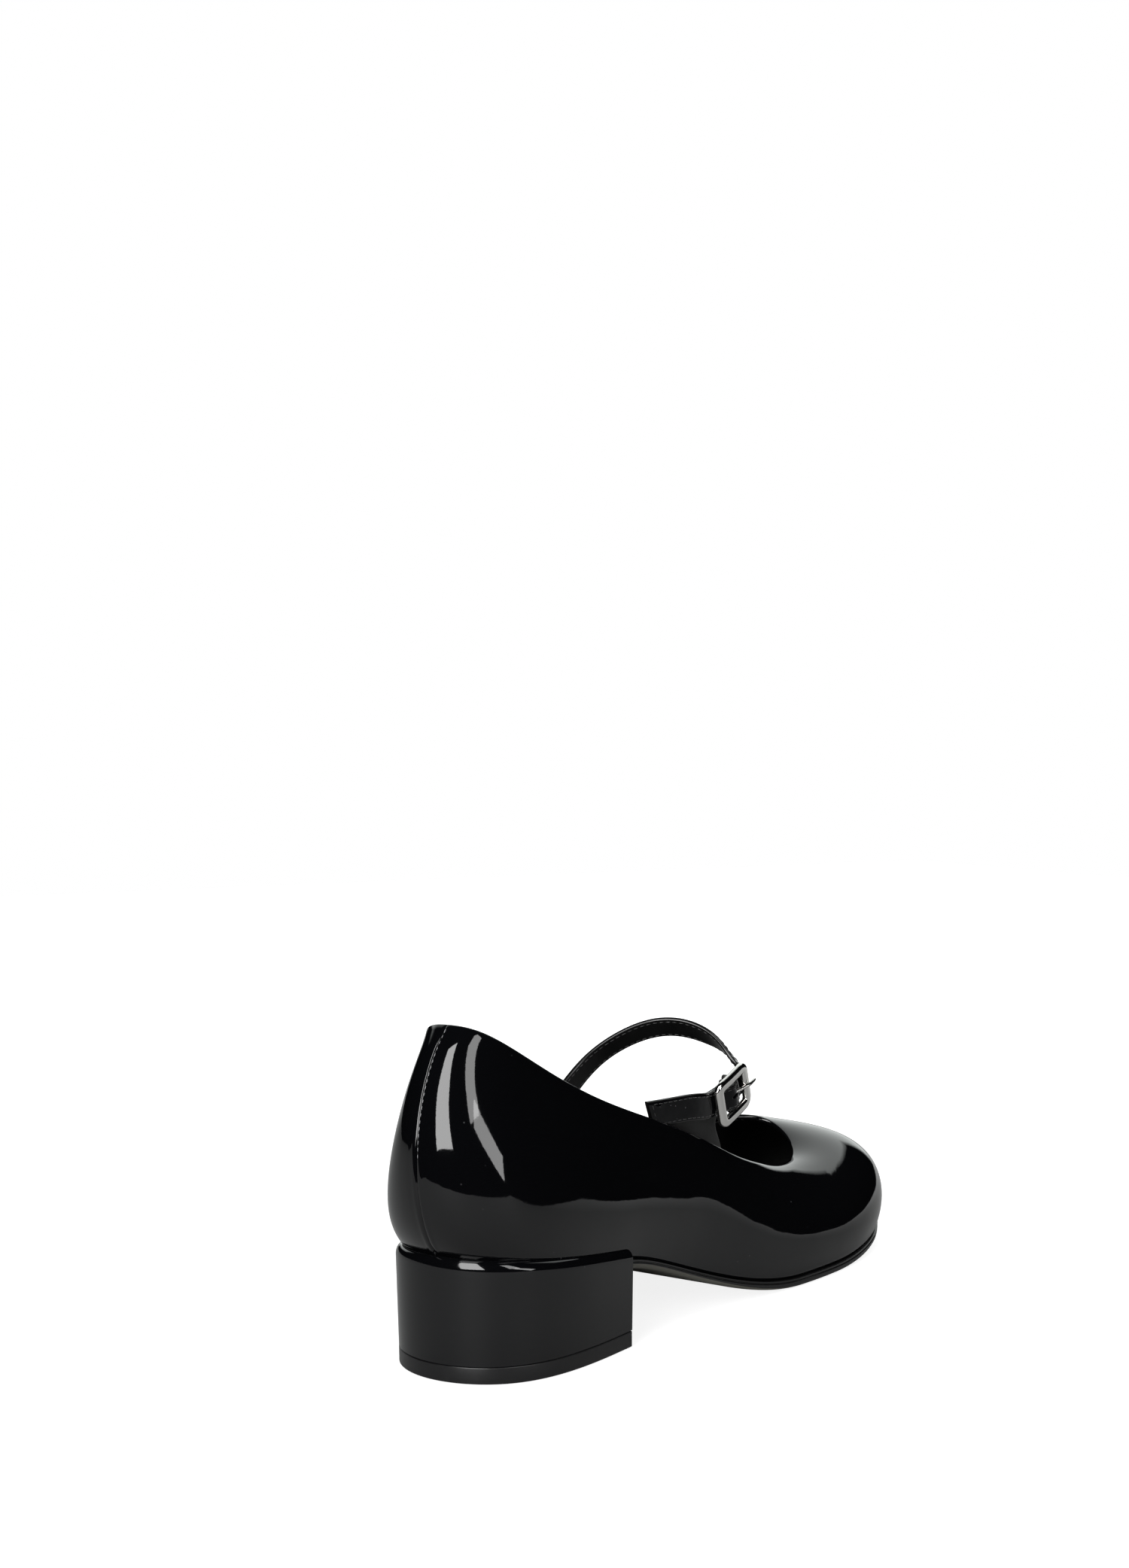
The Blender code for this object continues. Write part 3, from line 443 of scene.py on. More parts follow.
def make_leather_grain():
    """Small pebbled cells with pores between them."""
    tree, given, out = shader_group("leather_grain", [
        ("Scale", "NodeSocketFloat", 900.0), ("Depth", "NodeSocketFloat", 0.00005)],
        [("Normal", "NodeSocketVector")])
    place = on_object(tree)
    cells = add(tree, "ShaderNodeTexVoronoi", {"Vector": place, "Scale": given.outputs["Scale"]})
    soft = noise(tree, place, given.outputs["Scale"], 3.0, 0.6)
    bump = add(tree, "ShaderNodeBump", {
        "Strength": 0.8, "Distance": given.outputs["Depth"],
        "Height": product(tree, cells.outputs["Distance"], soft.outputs["Fac"])})
    tree.links.new(bump.outputs["Normal"], out.inputs["Normal"])
    return tree


def make_dust():
    """Sparse specks of dust and lint."""
    tree, given, out = shader_group("dust_specks", [
        ("Scale", "NodeSocketFloat", 260.0), ("Amount", "NodeSocketFloat", 0.5)],
        [("Mask", "NodeSocketFloat")])
    place = on_object(tree)
    specks = add(tree, "ShaderNodeTexVoronoi", {"Vector": place, "Scale": given.outputs["Scale"]})
    near = remap(tree, specks.outputs["Distance"], 0.10, 0.04)
    patch = noise(tree, place, 55.0, 2.0)
    where = remap(tree, patch.outputs["Fac"], 0.60, 0.68)
    dosed = product(tree, product(tree, near, where), given.outputs["Amount"])
    tree.links.new(dosed, out.inputs["Mask"])
    return tree


def make_edge_wear():
    """Where a surface stands out, rubbed a little, broken up by fine noise."""
    tree, given, out = shader_group("edge_wear", [
        ("Low", "NodeSocketFloat", 0.52), ("High", "NodeSocketFloat", 0.60)],
        [("Mask", "NodeSocketFloat")])
    shape = add(tree, "ShaderNodeNewGeometry")
    place = on_object(tree)
    edge = remap(tree, shape.outputs["Pointiness"], given.outputs["Low"], given.outputs["High"])
    broken = noise(tree, place, 700.0, 3.0)
    tree.links.new(product(tree, edge, broken.outputs["Fac"]), out.inputs["Mask"])
    return tree


GLOSS_WAVES = make_gloss_waves()
LEATHER_GRAIN = make_leather_grain()
DUST = make_dust()
EDGE_WEAR = make_edge_wear()


def finish(name, **sockets):
    """A material whose Principled shader has its plain sockets set."""
    mat = bpy.data.materials.new(name)
    mat.use_nodes = True
    shader = mat.node_tree.nodes["Principled BSDF"]
    for label, value in sockets.items():
        shader.inputs[label.replace("_", " ")].default_value = value
    return mat, mat.node_tree, shader


def use(tree, group, **sockets):
    """A shared effect placed in a material with its own values."""
    node = tree.nodes.new("ShaderNodeGroup")
    node.node_tree = group
    for label, value in sockets.items():
        node.inputs[label].default_value = value
    return node


def tinted(tree, base, other, mask):
    """Base colour that turns to the other one where the mask is on."""
    mix = add(tree, "ShaderNodeMix", data_type="RGBA")
    tree.links.new(mask, mix.inputs[0])
    mix.inputs[6].default_value = (*base, 1.0)
    mix.inputs[7].default_value = (*other, 1.0)
    return mix.outputs[2]


PATENT_BLACK = (0.0017, 0.0018, 0.0022)
DUST_GREY = (0.10, 0.10, 0.105)


def patent(name, scale, height, peel, rough=(0.030, 0.055), dust=0.5, shine=0.5):
    """Lacquered black leather: deep black under a mirror gloss, a little uneven and dusty."""
    mat, tree, shader = finish(name, IOR=1.50, Specular_IOR_Level=shine, Coat_Weight=0.0)
    waves = use(tree, GLOSS_WAVES, Scale=scale, Height=height, Peel=peel)
    tree.links.new(waves.outputs["Normal"], shader.inputs["Normal"])
    specks = use(tree, DUST, Scale=330.0, Amount=dust)
    color = tinted(tree, PATENT_BLACK, DUST_GREY, specks.outputs["Mask"])
    tree.links.new(color, shader.inputs["Base Color"])
    place = on_object(tree)
    smear = noise(tree, place, 38.0, 4.0, 0.6)
    gloss = remap(tree, smear.outputs["Fac"], 0.35, 0.75, *rough)
    dull = add(tree, "ShaderNodeMath", {0: specks.outputs["Mask"], 1: 0.5, 2: gloss},
               operation="MULTIPLY_ADD")
    tree.links.new(dull.outputs["Value"], shader.inputs["Roughness"])
    return mat


def matt_leather(name, low, high, scale, depth, rough):
    """Fine-grained leather whose colour shifts a little from place to place."""
    mat, tree, shader = finish(name, Specular_IOR_Level=0.35)
    grain = use(tree, LEATHER_GRAIN, Scale=scale, Depth=depth)
    tree.links.new(grain.outputs["Normal"], shader.inputs["Normal"])
    place = on_object(tree)
    cloud = noise(tree, place, 70.0, 4.0, 0.6)
    tree.links.new(tinted(tree, low, high, cloud.outputs["Fac"]), shader.inputs["Base Color"])
    tree.links.new(remap(tree, cloud.outputs["Fac"], 0.3, 0.7, *rough), shader.inputs["Roughness"])
    return mat


def rubber_like(name, low, high, rough, scale, depth):
    """Moulded or ground black edge: satin, with fine scuffs."""
    mat, tree, shader = finish(name, Specular_IOR_Level=0.45)
    grain = use(tree, LEATHER_GRAIN, Scale=scale, Depth=depth)
    tree.links.new(grain.outputs["Normal"], shader.inputs["Normal"])
    worn = use(tree, EDGE_WEAR, Low=0.53, High=0.64)
    tree.links.new(tinted(tree, low, high, worn.outputs["Mask"]), shader.inputs["Base Color"])
    place = on_object(tree)
    scuff = noise(tree, place, 240.0, 4.0, 0.7)
    tree.links.new(remap(tree, scuff.outputs["Fac"], 0.3, 0.7, *rough), shader.inputs["Roughness"])
    return mat


def silver(name, color, rough, brushed=0.0):
    """Plated and polished metal with faint hairlines, a little lighter where its edges are rubbed."""
    mat, tree, shader = finish(name, Metallic=1.0)
    worn = use(tree, EDGE_WEAR, Low=0.50, High=0.62)
    bright = tuple(min(1.0, c * 1.12) for c in color)
    tree.links.new(tinted(tree, color, bright, worn.outputs["Mask"]), shader.inputs["Base Color"])
    place = on_object(tree)
    stretched = add(tree, "ShaderNodeMapping", {"Vector": place, "Scale": (400.0, 4000.0, 900.0)})
    hair = noise(tree, stretched.outputs["Vector"], 1.0, 3.0, 0.6)
    tree.links.new(remap(tree, hair.outputs["Fac"], 0.3, 0.7, *rough), shader.inputs["Roughness"])
    bump = add(tree, "ShaderNodeBump", {
        "Strength": 0.15 + brushed, "Distance": 0.00001, "Height": hair.outputs["Fac"]})
    tree.links.new(bump.outputs["Normal"], shader.inputs["Normal"])
    return mat


def thread(name, color):
    """Waxed sewing thread, twisted."""
    mat, tree, shader = finish(name, Specular_IOR_Level=0.6, Sheen_Weight=0.3, Sheen_Roughness=0.3)
    place = on_object(tree)
    ply = add(tree, "ShaderNodeTexWave", {"Vector": place, "Scale": 900.0, "Distortion": 2.0})
    tone = noise(tree, place, 500.0, 2.0)
    bright = tuple(2.2 * c for c in color)
    tree.links.new(tinted(tree, color, bright, tone.outputs["Fac"]), shader.inputs["Base Color"])
    tree.links.new(remap(tree, tone.outputs["Fac"], 0.3, 0.7, 0.28, 0.42), shader.inputs["Roughness"])
    bump = add(tree, "ShaderNodeBump", {
        "Strength": 0.5, "Distance": 0.00004, "Height": ply.outputs["Fac"]})
    tree.links.new(bump.outputs["Normal"], shader.inputs["Normal"])
    return mat


UPPER_PATENT = patent("upper_patent", 62.0, 0.00016, 0.20)
STRAP_PATENT = patent("strap_patent", 150.0, 0.00040, 0.30, dust=0.6, shine=0.17)
TAB_PATENT = patent("tab_patent", 300.0, 0.00075, 0.40, rough=(0.06, 0.12), dust=0.7, shine=0.24)
HEEL_PATENT = patent("heel_patent", 48.0, 0.00022, 0.35, rough=(0.05, 0.08), dust=0.3)
LINING = matt_leather(
    "lining_black", (0.0035, 0.0035, 0.0035), (0.007, 0.007, 0.007), 800.0, 0.00006, (0.45, 0.62))
SOCK = matt_leather("sock_black", (0.006, 0.006, 0.006), (0.011, 0.011, 0.011), 650.0, 0.00008, (0.5, 0.68))
STRAP_BACK = matt_leather(
    "strap_back_black", (0.0026, 0.0026, 0.0026), (0.0050, 0.0050, 0.0050), 1100.0, 0.00004, (0.40, 0.55))
SOLE_BASE = matt_leather(
    "sole_base_olive", (0.060, 0.058, 0.048), (0.085, 0.083, 0.070), 700.0, 0.00003, (0.42, 0.6))
WORN_BLACK = (0.010, 0.010, 0.010)
SOLE_EDGE = rubber_like(
    "sole_edge_black", (0.0040, 0.0040, 0.0042), WORN_BLACK, (0.16, 0.24), 900.0, 0.000006)
EDGE_PAINT = rubber_like(
    "edge_paint_black", (0.0035, 0.0035, 0.0035), WORN_BLACK, (0.16, 0.26), 1200.0, 0.00001)
LIFT_RUBBER = rubber_like(
    "lift_rubber_black", (0.0040, 0.0040, 0.0044), WORN_BLACK, (0.28, 0.38), 1000.0, 0.00001)
FRAME_SILVER = silver("frame_silver", (0.74, 0.73, 0.71), (0.07, 0.13))
PRONG_SILVER = silver("prong_silver", (0.70, 0.69, 0.67), (0.09, 0.17))
BAR_STEEL = silver("bar_steel_grey", (0.55, 0.55, 0.54), (0.20, 0.32), 0.3)
# Painted highlight: the thread is dark, and this lighter grey stands in for the glints on its stitches
SEAM_THREAD_PAINTED_SHEEN = thread("seam_thread_painted_sheen", (0.085, 0.085, 0.090))
BLACK_THREAD = thread("black_thread", (0.012, 0.012, 0.012))


# ---- building pieces
def piece(name, points, faces, mats, nodes=(), sharp=60.0, pick=None):
    """A mesh piece given in distances from the back of the seat, set on the frame."""
    mesh = bpy.data.meshes.new(name)
    places = np.asarray(points, float).reshape(-1, 3) - ORIGIN
    mesh.from_pydata([tuple(p) for p in places], [], faces)
    for mat in mats:
        mesh.materials.append(mat)
    if pick is not None:
        mesh.polygons.foreach_set("material_index", [pick(k) for k in range(len(mesh.polygons))])
    work = bmesh.new()
    work.from_mesh(mesh)
    bmesh.ops.remove_doubles(work, verts=work.verts, dist=1e-7)
    bmesh.ops.recalc_face_normals(work, faces=work.faces)
    work.to_mesh(mesh)
    work.free()
    mesh.shade_smooth()
    mesh.set_sharp_from_angle(angle=math.radians(sharp))
    obj = bpy.data.objects.new(name, mesh)
    bpy.context.scene.collection.objects.link(obj)
    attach(obj, "root")
    if nodes:
        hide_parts(*nodes)
    return obj


def closed_grid(rows, columns):
    """Faces of a grid of points that closes on itself both ways."""
    return [(i * columns + j, i * columns + (j + 1) % columns,
             ((i + 1) % rows) * columns + (j + 1) % columns, ((i + 1) % rows) * columns + j)
            for i in range(rows) for j in range(columns)]


def tube_faces(rows, columns):
    """Faces of a grid closed one way, with a cap on each end."""
    sides = [(i * columns + j, i * columns + (j + 1) % columns,
              (i + 1) * columns + (j + 1) % columns, (i + 1) * columns + j)
             for i in range(rows - 1) for j in range(columns)]
    last = (rows - 1) * columns
    return sides + [tuple(range(columns))[::-1], tuple(last + j for j in range(columns))]


# Slow waves pressed into the upper by lasting: direction, wavelength, height, turn
WAVES = (
    ((1.0, 0.2, 0.5), 0.038, 0.000034, 0.4),
    ((0.7, -0.5, -0.6), 0.026, 0.000020, 1.9),
    ((0.3, 0.4, 1.0), 0.021, 0.000016, 3.1),
    ((1.0, 0.0, -0.3), 0.017, 0.000010, 5.0),
    ((-0.4, 1.0, 0.8), 0.013, 0.000007, 2.2),
)
WAVES_GROW = (0.120, 0.185)    # calm behind, full over the toes
WAVES_CALM = 0.35          # what is left of them behind
SEAM_DEPTH = 0.00030       # groove of the back seam
SEAM_HALF = 0.00022
SEAM_WELT = 0.00014        # how far the leather puffs up beside it
FOOT_ROUND = 0.0013        # how the upper turns under at the feather line
FACING_DEPTH = 0.0052      # patent turned over the topline, down the inside
SKIN = 0.0011              # patent and its backing; the lining is the rest of the wall


def wavy(points):
    """Height of the slow waves at each place."""
    total = np.zeros(points.shape[:-1])
    for way, length, height, turn in WAVES:
        total += height * np.sin(2 * np.pi * (points @ unit(np.array(way))) / length + turn)
    start, end = WAVES_GROW
    share = np.clip((points[..., 0] - start) / (end - start), 0.0, 1.0)
    return total * (WAVES_CALM + (1.0 - WAVES_CALM) * share * share * (3.0 - 2.0 * share))


# The outer waist: middle along the shoe, reach each way, depth, where it turns over and how far up
WAIST_ALONG, WAIST_REACH, WAIST_DEPTH = 0.070, 0.028, 0.00136
WAIST_TURN, WAIST_TURN_ALONG, WAIST_SLOPE, WAIST_UP = 0.0490, 0.045, 0.19, 0.010
# The outer vamp: middle along, reach each way, depth, middle across and reach across
VAMP_ALONG, VAMP_REACH, VAMP_DEPTH = 0.156, 0.026, 0.00160
VAMP_ACROSS, VAMP_SPREAD = -0.0265, 0.009


def waist_relief(points):
    """Fuller low down and hollower above on the outer waist, as the last draws it in."""
    x, y, z = points[..., 0], points[..., 1], points[..., 2]
    up = (z - WAIST_TURN + WAIST_SLOPE * (x - WAIST_TURN_ALONG)) / WAIST_UP
    size = np.where(y < 0.0, WAIST_DEPTH * np.exp(-np.abs((x - WAIST_ALONG) / WAIST_REACH) ** 3), 0.0)
    hollow = (0.5 * np.tanh(up / 0.5) + 0.07 * np.clip(up, 0.0, 2.5)) * np.clip(2.0 - up / 3.0, 0.0, 1.0)
    return -size * np.where(up > 0.0, hollow, up * np.exp(-up * up))


def vamp_relief(points):
    """Fuller beside the throat and flatter outside it, so that the outer vamp turns down sooner."""
    x, y = points[..., 0], points[..., 1]
    out = (VAMP_ACROSS - y) / VAMP_SPREAD
    size = np.where(y < 0.0, VAMP_DEPTH * np.exp(-np.abs((x - VAMP_ALONG) / VAMP_REACH) ** 4), 0.0)
    return -size * out * np.exp(-out * out)


def seam_relief(points):
    """Groove down the middle of the back, with the leather puffed up on both sides of it."""
    y = points[..., 1]
    groove = -SEAM_DEPTH * np.exp(-(y / SEAM_HALF) ** 2)
    welt = SEAM_WELT * np.exp(-((np.abs(y) - 0.0011) / 0.0006) ** 2)
    return np.where(points[..., 0] < HEEL_LENGTH, groove + welt, 0.0)


def sections_round(count):
    """Places round the shoe, crowded beside the back seam."""
    even = (np.arange(count) + 0.5) / count * TURN - 0.5 * TURN
    speed = np.linalg.norm(foot_curve(1e-3 * TURN) - foot_curve(-1e-3 * TURN)) / (2e-3 * TURN)
    beside = np.array([0.0, 0.00012, 0.00025, 0.0004, 0.0006, 0.0009, 0.0012, 0.0016, 0.0022, 0.003])
    beside = beside / speed
    near = np.concatenate([-beside[:0:-1], beside])
    far = even[np.abs(even) > beside[-1] + 0.0008 / speed]
    return np.sort(np.concatenate([near, far]))


def face_levels(t, distances):
    """How far up the wall (as v) lies a distance along it, measured from the foot."""
    v = np.linspace(0.0, 1.0, 201)
    line = upper_face(t[:, None], v[None, :])
    steps = np.linalg.norm(np.diff(line, axis=1), axis=2)
    run = np.concatenate([np.zeros((len(t), 1)), np.cumsum(steps, axis=1)], axis=1)
    asked = distances(run[:, -1:])
    return np.array([np.interp(d, r, v) for d, r in zip(asked, run)])


def wall_points(t, v, inset):
    """Places on the wall, moved in from the outer face by inset."""
    tt = np.broadcast_to(t[:, None], v.shape)
    base, normal = upper_face(tt, v), upper_normal(tt, v)
    foot = np.clip(v / 0.06, 0.0, 1.0)
    lift = (wavy(base) + seam_relief(base)) * np.clip((1.0 - v) / 0.05, 0.15, 1.0)
    lift = (lift + waist_relief(base) + vamp_relief(base)) * foot
    return base + normal * (lift - inset)[..., None]


REST = 0.00002             # how far a piece stays off the one it rests on


def make_upper_shell():
    """The patent leather: outer face, rounded topline, facing, and the back that the lining covers."""
    t = sections_round(400)
    low = np.array([0.0, 0.12, 0.3, 0.5, 0.75, 1.0]) * FOOT_ROUND
    shares = np.linspace(0.0, 1.0, 50)[1:]
    outer_v = face_levels(t, lambda full: np.concatenate(
        [np.broadcast_to(low, (len(full), len(low))), low[-1] + shares * (full - low[-1])], axis=1))
    outer = wall_points(t, outer_v, 0.0)
    out3 = np.concatenate([foot_outward(t), np.zeros((len(t), 1))], axis=1)[:, None]
    tuck = FOOT_ROUND - np.sqrt(np.maximum(FOOT_ROUND ** 2 - (FOOT_ROUND - low) ** 2, 0.0))
    outer[:, :len(low)] -= 0.8 * tuck[None, :, None] * out3
    outer[:, 0, 2] = sole_top(outer[:, 0, 0]) + REST
    facing = np.array([0.0, 0.4, 0.8, 0.97, 1.0, 1.0]) * FACING_DEPTH
    inset = np.array([WALL, WALL, WALL, WALL - 0.00005, WALL - 0.00022, SKIN])
    in_v = face_levels(t, lambda full: full - facing[None, :])
    inner = wall_points(t, in_v, inset[None, :])
    hidden_v = face_levels(t, lambda full: (full - FACING_DEPTH) * np.linspace(1.0, 0.0, 16)[None, 1:])
    hidden = wall_points(t, hidden_v, SKIN)
    hidden[:, -1, 2] = sole_top(hidden[:, -1, 0]) + REST
    top_way = unit(outer[:, -1] - outer[:, -3])
    middle, half = 0.5 * (outer[:, -1] + inner[:, 0]), 0.5 * (outer[:, -1] - inner[:, 0])
    crown = [middle + half * math.cos(a) + top_way * TOPLINE_ROUND * WALL * math.sin(a) for a in
             np.radians([22.0, 45.0, 68.0, 90.0, 112.0, 135.0, 158.0])]
    ring = np.concatenate([outer, np.stack(crown, axis=1), inner, hidden], axis=1)
    piece("upper_shell", ring, closed_grid(*ring.shape[:2]), [UPPER_PATENT],
          ["upper"])


def make_upper_lining():
    """The lining from the facing's edge down to the sock."""
    t = sections_round(300)
    seen = np.array([FACING_DEPTH + 0.0001, FACING_DEPTH + 0.0003])
    shares = np.linspace(1.0, 0.0, 34)
    inner_v = face_levels(t, lambda full: np.concatenate(
        [full - seen[None, :1], (full - seen[1]) * shares[None, :]], axis=1))
    inset = np.concatenate([[WALL - 0.0002], np.full(len(shares), WALL - 0.00004)])
    inner = wall_points(t, inner_v, inset[None, :])
    inner[:, -1, 2] = sole_top(inner[:, -1, 0]) + GAP
    back_v = face_levels(t, lambda full: (full - seen[0]) * np.linspace(0.0, 1.0, 12)[None, :])
    back = wall_points(t, back_v, SKIN + 0.00005)
    back[:, 0, 2] = sole_top(back[:, 0, 0]) + GAP
    ring = np.concatenate([inner, back], axis=1)
    piece("upper_lining", ring, closed_grid(*ring.shape[:2]), [LINING])


# ---- sole, sock and heel
def plate(name, offset, stations, bottom, top, edge, square_back, mats, nodes, base_levels=0):
    """A plate with the shoe's outline: edge(x) lists (inset, share of thickness) from below."""
    outer_at, inner_at, back_point, tip_point = half_widths(offset)
    sides = []
    for side_at in (outer_at, inner_at):
        y = side_at(stations)
        if not square_back:
            y[0] = back_point[1]
        y[-1] = tip_point[1]
        sides.append(np.stack([stations, y], axis=1))
    returning = sides[1][-2::-1] if square_back else sides[1][-2:0:-1]
    path = np.concatenate([sides[0], returning])
    ahead = np.roll(path, -1, axis=0) - np.roll(path, 1, axis=0)
    out = unit(np.stack([ahead[:, 1], -ahead[:, 0]], axis=1))
    if square_back:
        out[0], out[-1] = (0.0, -1.0), (0.0, 1.0)
    vertices = []
    for point, normal in zip(path, out):
        for inset, share in edge(point[0]):
            x, y = point - inset * normal
            vertices.append((x, y, bottom(x) + share * (top(x) - bottom(x))))
    rings, steps = len(path), len(edge(path[0][0]))
    faces, kinds = [], []
    for i in range(rings - 1 if square_back else rings):
        here, after = i * steps, ((i + 1) % rings) * steps
        for k in range(steps - 1):
            faces.append((here + k, after + k, after + k + 1, here + k + 1))
            kinds.append(1 if k < base_levels else 0)
    for i in range(len(stations) - 1):
        far = rings - 1 - i if square_back else (rings - i) % rings
        far_after = rings - 2 - i if square_back else rings - i - 1
        for level, turn in ((0, 1), (steps - 1, -1)):
            loop = [place * steps + level for place in (i, i + 1, far_after, far)]
            faces.append(tuple(list(dict.fromkeys(loop))[::turn]))
            kinds.append(1 if level == 0 and base_levels else 0)
    if square_back:
        last = (rings - 1) * steps
        faces.append(tuple(list(range(steps)) + [last + k for k in range(steps)][::-1]))
        kinds.append(0)
    return piece(name, vertices, faces, mats, nodes, 50.0, lambda k: kinds[k])


def spaced(start, end, count, both_round):
    """Stations between two places, crowded together at the rounded end or ends."""
    s = np.linspace(0.0, 1.0, count)
    share = 0.5 - 0.5 * np.cos(np.pi * s) if both_round else np.sin(0.5 * np.pi * s) ** 1.15
    return start + (end - start) * share


# How far up its edge the bare sole shows, share of its thickness, at places along it
SOLE_BARE = ((HEEL_LENGTH, 0.56), (0.105, 0.42), (0.150, 0.10))
SOLE_BREAK = ((0.0, 2.4), (0.025, 1.3), (0.09, 0.6), (0.20, 0.15), (0.34, 0.0))    # share up, inset in BEVELs
SOLE_GROOVE = ((0.63, 0.1), (0.66, 0.8), (0.69, 1.0), (0.75, 1.0), (0.78, 0.8), (0.81, 0.1),
               (0.86, 0.0), (0.95, 0.0))                                           # share up, inset in depths
GROOVE_FOOT = 0.60         # the plain edge ends here, share of the thickness


def make_sole():
    """Forepart and waist: bare underside and lower edge, painted and grooved above."""
    tip = half_widths(-SOLE_REACH)[3][0]
    stations = np.concatenate([
        np.linspace(HEEL_LENGTH + 0.00005, FLAT_FROM, 60)[:-1], np.linspace(FLAT_FROM, FLAT_TO, 14)[:-1],
        spaced(FLAT_TO, tip, 80, False)])
    grooved = [(depth * GROOVE_DEPTH, share) for share, depth in SOLE_GROOVE] + [(0.4 * BEVEL, 1.0)]

    def edge(x):
        bare = np.interp(x, *zip(*SOLE_BARE))
        shares = [0.0, 0.025, 0.5 * bare, bare, 0.7 * bare + 0.3 * GROOVE_FOOT,
                  0.35 * bare + 0.65 * GROOVE_FOOT, GROOVE_FOOT]
        return [(BEVEL * np.interp(share, *zip(*SOLE_BREAK)), share) for share in shares] + grooved

    plate("sole_unit", -SOLE_REACH, stations, sole_bottom, sole_top, edge, True, [SOLE_EDGE, SOLE_BASE],
          ["outsole"], 3)


def make_sock():
    """The sock on the insole, its upper edge rounded."""
    inset = WALL + 0.00008
    _, _, back, tip = half_widths(inset)
    stations = spaced(back[0], tip[0], 150, True)
    edge = ((0.0, 0.0), (0.0, 0.55), (0.25 * BEVEL, 0.82), (0.8 * BEVEL, 0.96), (1.6 * BEVEL, 1.0))
    plate("insole_sock", inset, stations, lambda x: sole_top(x) + 0.00005,
          lambda x: sole_top(x) + GAP + INSOLE_THICKNESS, lambda x: edge, False, [SOCK],
          ["insole"])


def heel_ring(profile):
    """Heel columns whose two ends stand on the flat breast."""
    ring = np.stack(profile, axis=1)
    ring[0, :, 0] = ring[-1, :, 0] = HEEL_LENGTH
    return ring


def open_ring_faces(rings, steps):
    """Walls between columns, the two level caps and the breast."""
    faces = [(i * steps + k, (i + 1) * steps + k, (i + 1) * steps + k + 1, i * steps + k + 1)
             for i in range(rings - 1) for k in range(steps - 1)]
    faces.append(tuple(i * steps for i in range(rings)))
    faces.append(tuple(i * steps + steps - 1 for i in range(rings))[::-1])
    last = (rings - 1) * steps
    faces.append(tuple(list(range(steps)) + [last + k for k in range(steps)][::-1]))
    return faces


def at_height(flat, height):
    """Level points lifted to a height."""
    return np.concatenate([flat, np.broadcast_to(height, flat.shape[:1])[:, None]], axis=1)


RIM_DROP = 0.0030          # how far down the heel the rim's rounding starts
COVER_LIFT = 0.00006       # how far the cover stands off the rim it is drawn over


def soften(obj, width, segments, angle):
    """Round a piece's sharp edges."""
    bevel = obj.modifiers.new("soft_edges", "BEVEL")
    bevel.width = width
    bevel.segments = segments
    bevel.limit_method = "ANGLE"
    bevel.angle_limit = math.radians(angle)
    bevel.harden_normals = False


def make_heel_cover():
    """Patent leather over the block, drawn in at the rim round the upper's seat."""
    t = heel_columns(170)
    outline, out, level = heel_outline(t), foot_outward(t), rim_level(t)
    rim = upper_face(t, level) + COVER_LIFT * upper_normal(t, level)
    half = upper_face(t, 0.5 * level) + COVER_LIFT * upper_normal(t, 0.5 * level)
    seat = foot_curve(t) + COVER_LIFT * out
    top = rim[:, 2] + 0.1 * RIM_THICKNESS
    profile = [at_height(outline - HEEL_TAPER * out, LIFT_THICKNESS + 0.00022)]
    for share in (0.2, 0.4, 0.6, 0.8, 0.92):
        height = (1 - share) * (LIFT_THICKNESS + GAP) + share * (top - RIM_DROP)
        profile.append(at_height(outline - (1 - share) * HEEL_TAPER * out, height))
    for turn in np.radians(np.linspace(0.0, 86.0, 11)):
        reach = 1.0 - math.cos(turn)
        inward = outline + (rim[:, :2] - outline) * reach
        profile.append(at_height(inward, top - RIM_DROP * (1 - math.sin(turn))))
    profile += [at_height(rim[:, :2], top), rim, half, at_height(seat, sole_top(seat[:, 0]))]
    ring = heel_ring(profile)
    ring[:, -1, 2] = sole_top(ring[:, -1, 0] - 1e-9)
    cover = piece("heel_cover", ring, open_ring_faces(*ring.shape[:2]), [HEEL_PATENT],
                  ["heel_block"], 38.0)
    soften(cover, 0.0004, 3, 50.0)


def make_top_lift():
    """The rubber lift under the heel."""
    t = heel_columns(170)
    out = foot_outward(t)
    edge = heel_outline(t) - HEEL_TAPER * out
    levels = ((0.75, 0.0), (0.3, 0.12), (0.05, 0.4), (0.0, 0.8))
    profile = [at_height(edge - inset * BEVEL * out, height * BEVEL) for inset, height in levels]
    profile += [at_height(edge - inset * BEVEL * out, LIFT_THICKNESS - height * BEVEL)
                for inset, height in ((0.0, 0.5), (0.05, 0.25), (0.2, 0.08), (0.45, 0.0))]
    ring = heel_ring(profile)
    lift = piece("heel_top_lift_rubber", ring, open_ring_faces(*ring.shape[:2]), [LIFT_RUBBER],
                 ["heel_top_lift"], 38.0)
    soften(lift, 0.00025, 2, 55.0)


# ---- strap, tab and buckle
STRAP_CROWN = 0.00016      # how far the strap's face swells between its edges


def band_section(width, thickness, crown):
    """Outline of a folded strap: face, edge, back, edge, as (across, out, kind)."""
    half, edge = 0.5 * thickness, 0.5 * width
    r = 0.7 * half
    face = [((edge - r) * s, half + crown * (1 - s * s), 0) for s in np.linspace(1.0, -1.0, 13)]
    back = [((edge - r) * s, -half, 1) for s in np.linspace(-1.0, 1.0, 9)]
    early, late = np.radians([30, 60, 90]), np.radians([0, 30, 60])
    corner = [(edge - r + r * math.sin(a), half - r + r * math.cos(a)) for a in early]
    corner += [(edge - r + r * math.cos(a), -half + r - r * math.sin(a)) for a in late]
    low = [(-across, out, 2) for across, out in corner]
    high = [(across, -out, 2) for across, out in corner]
    return face + low + back + high


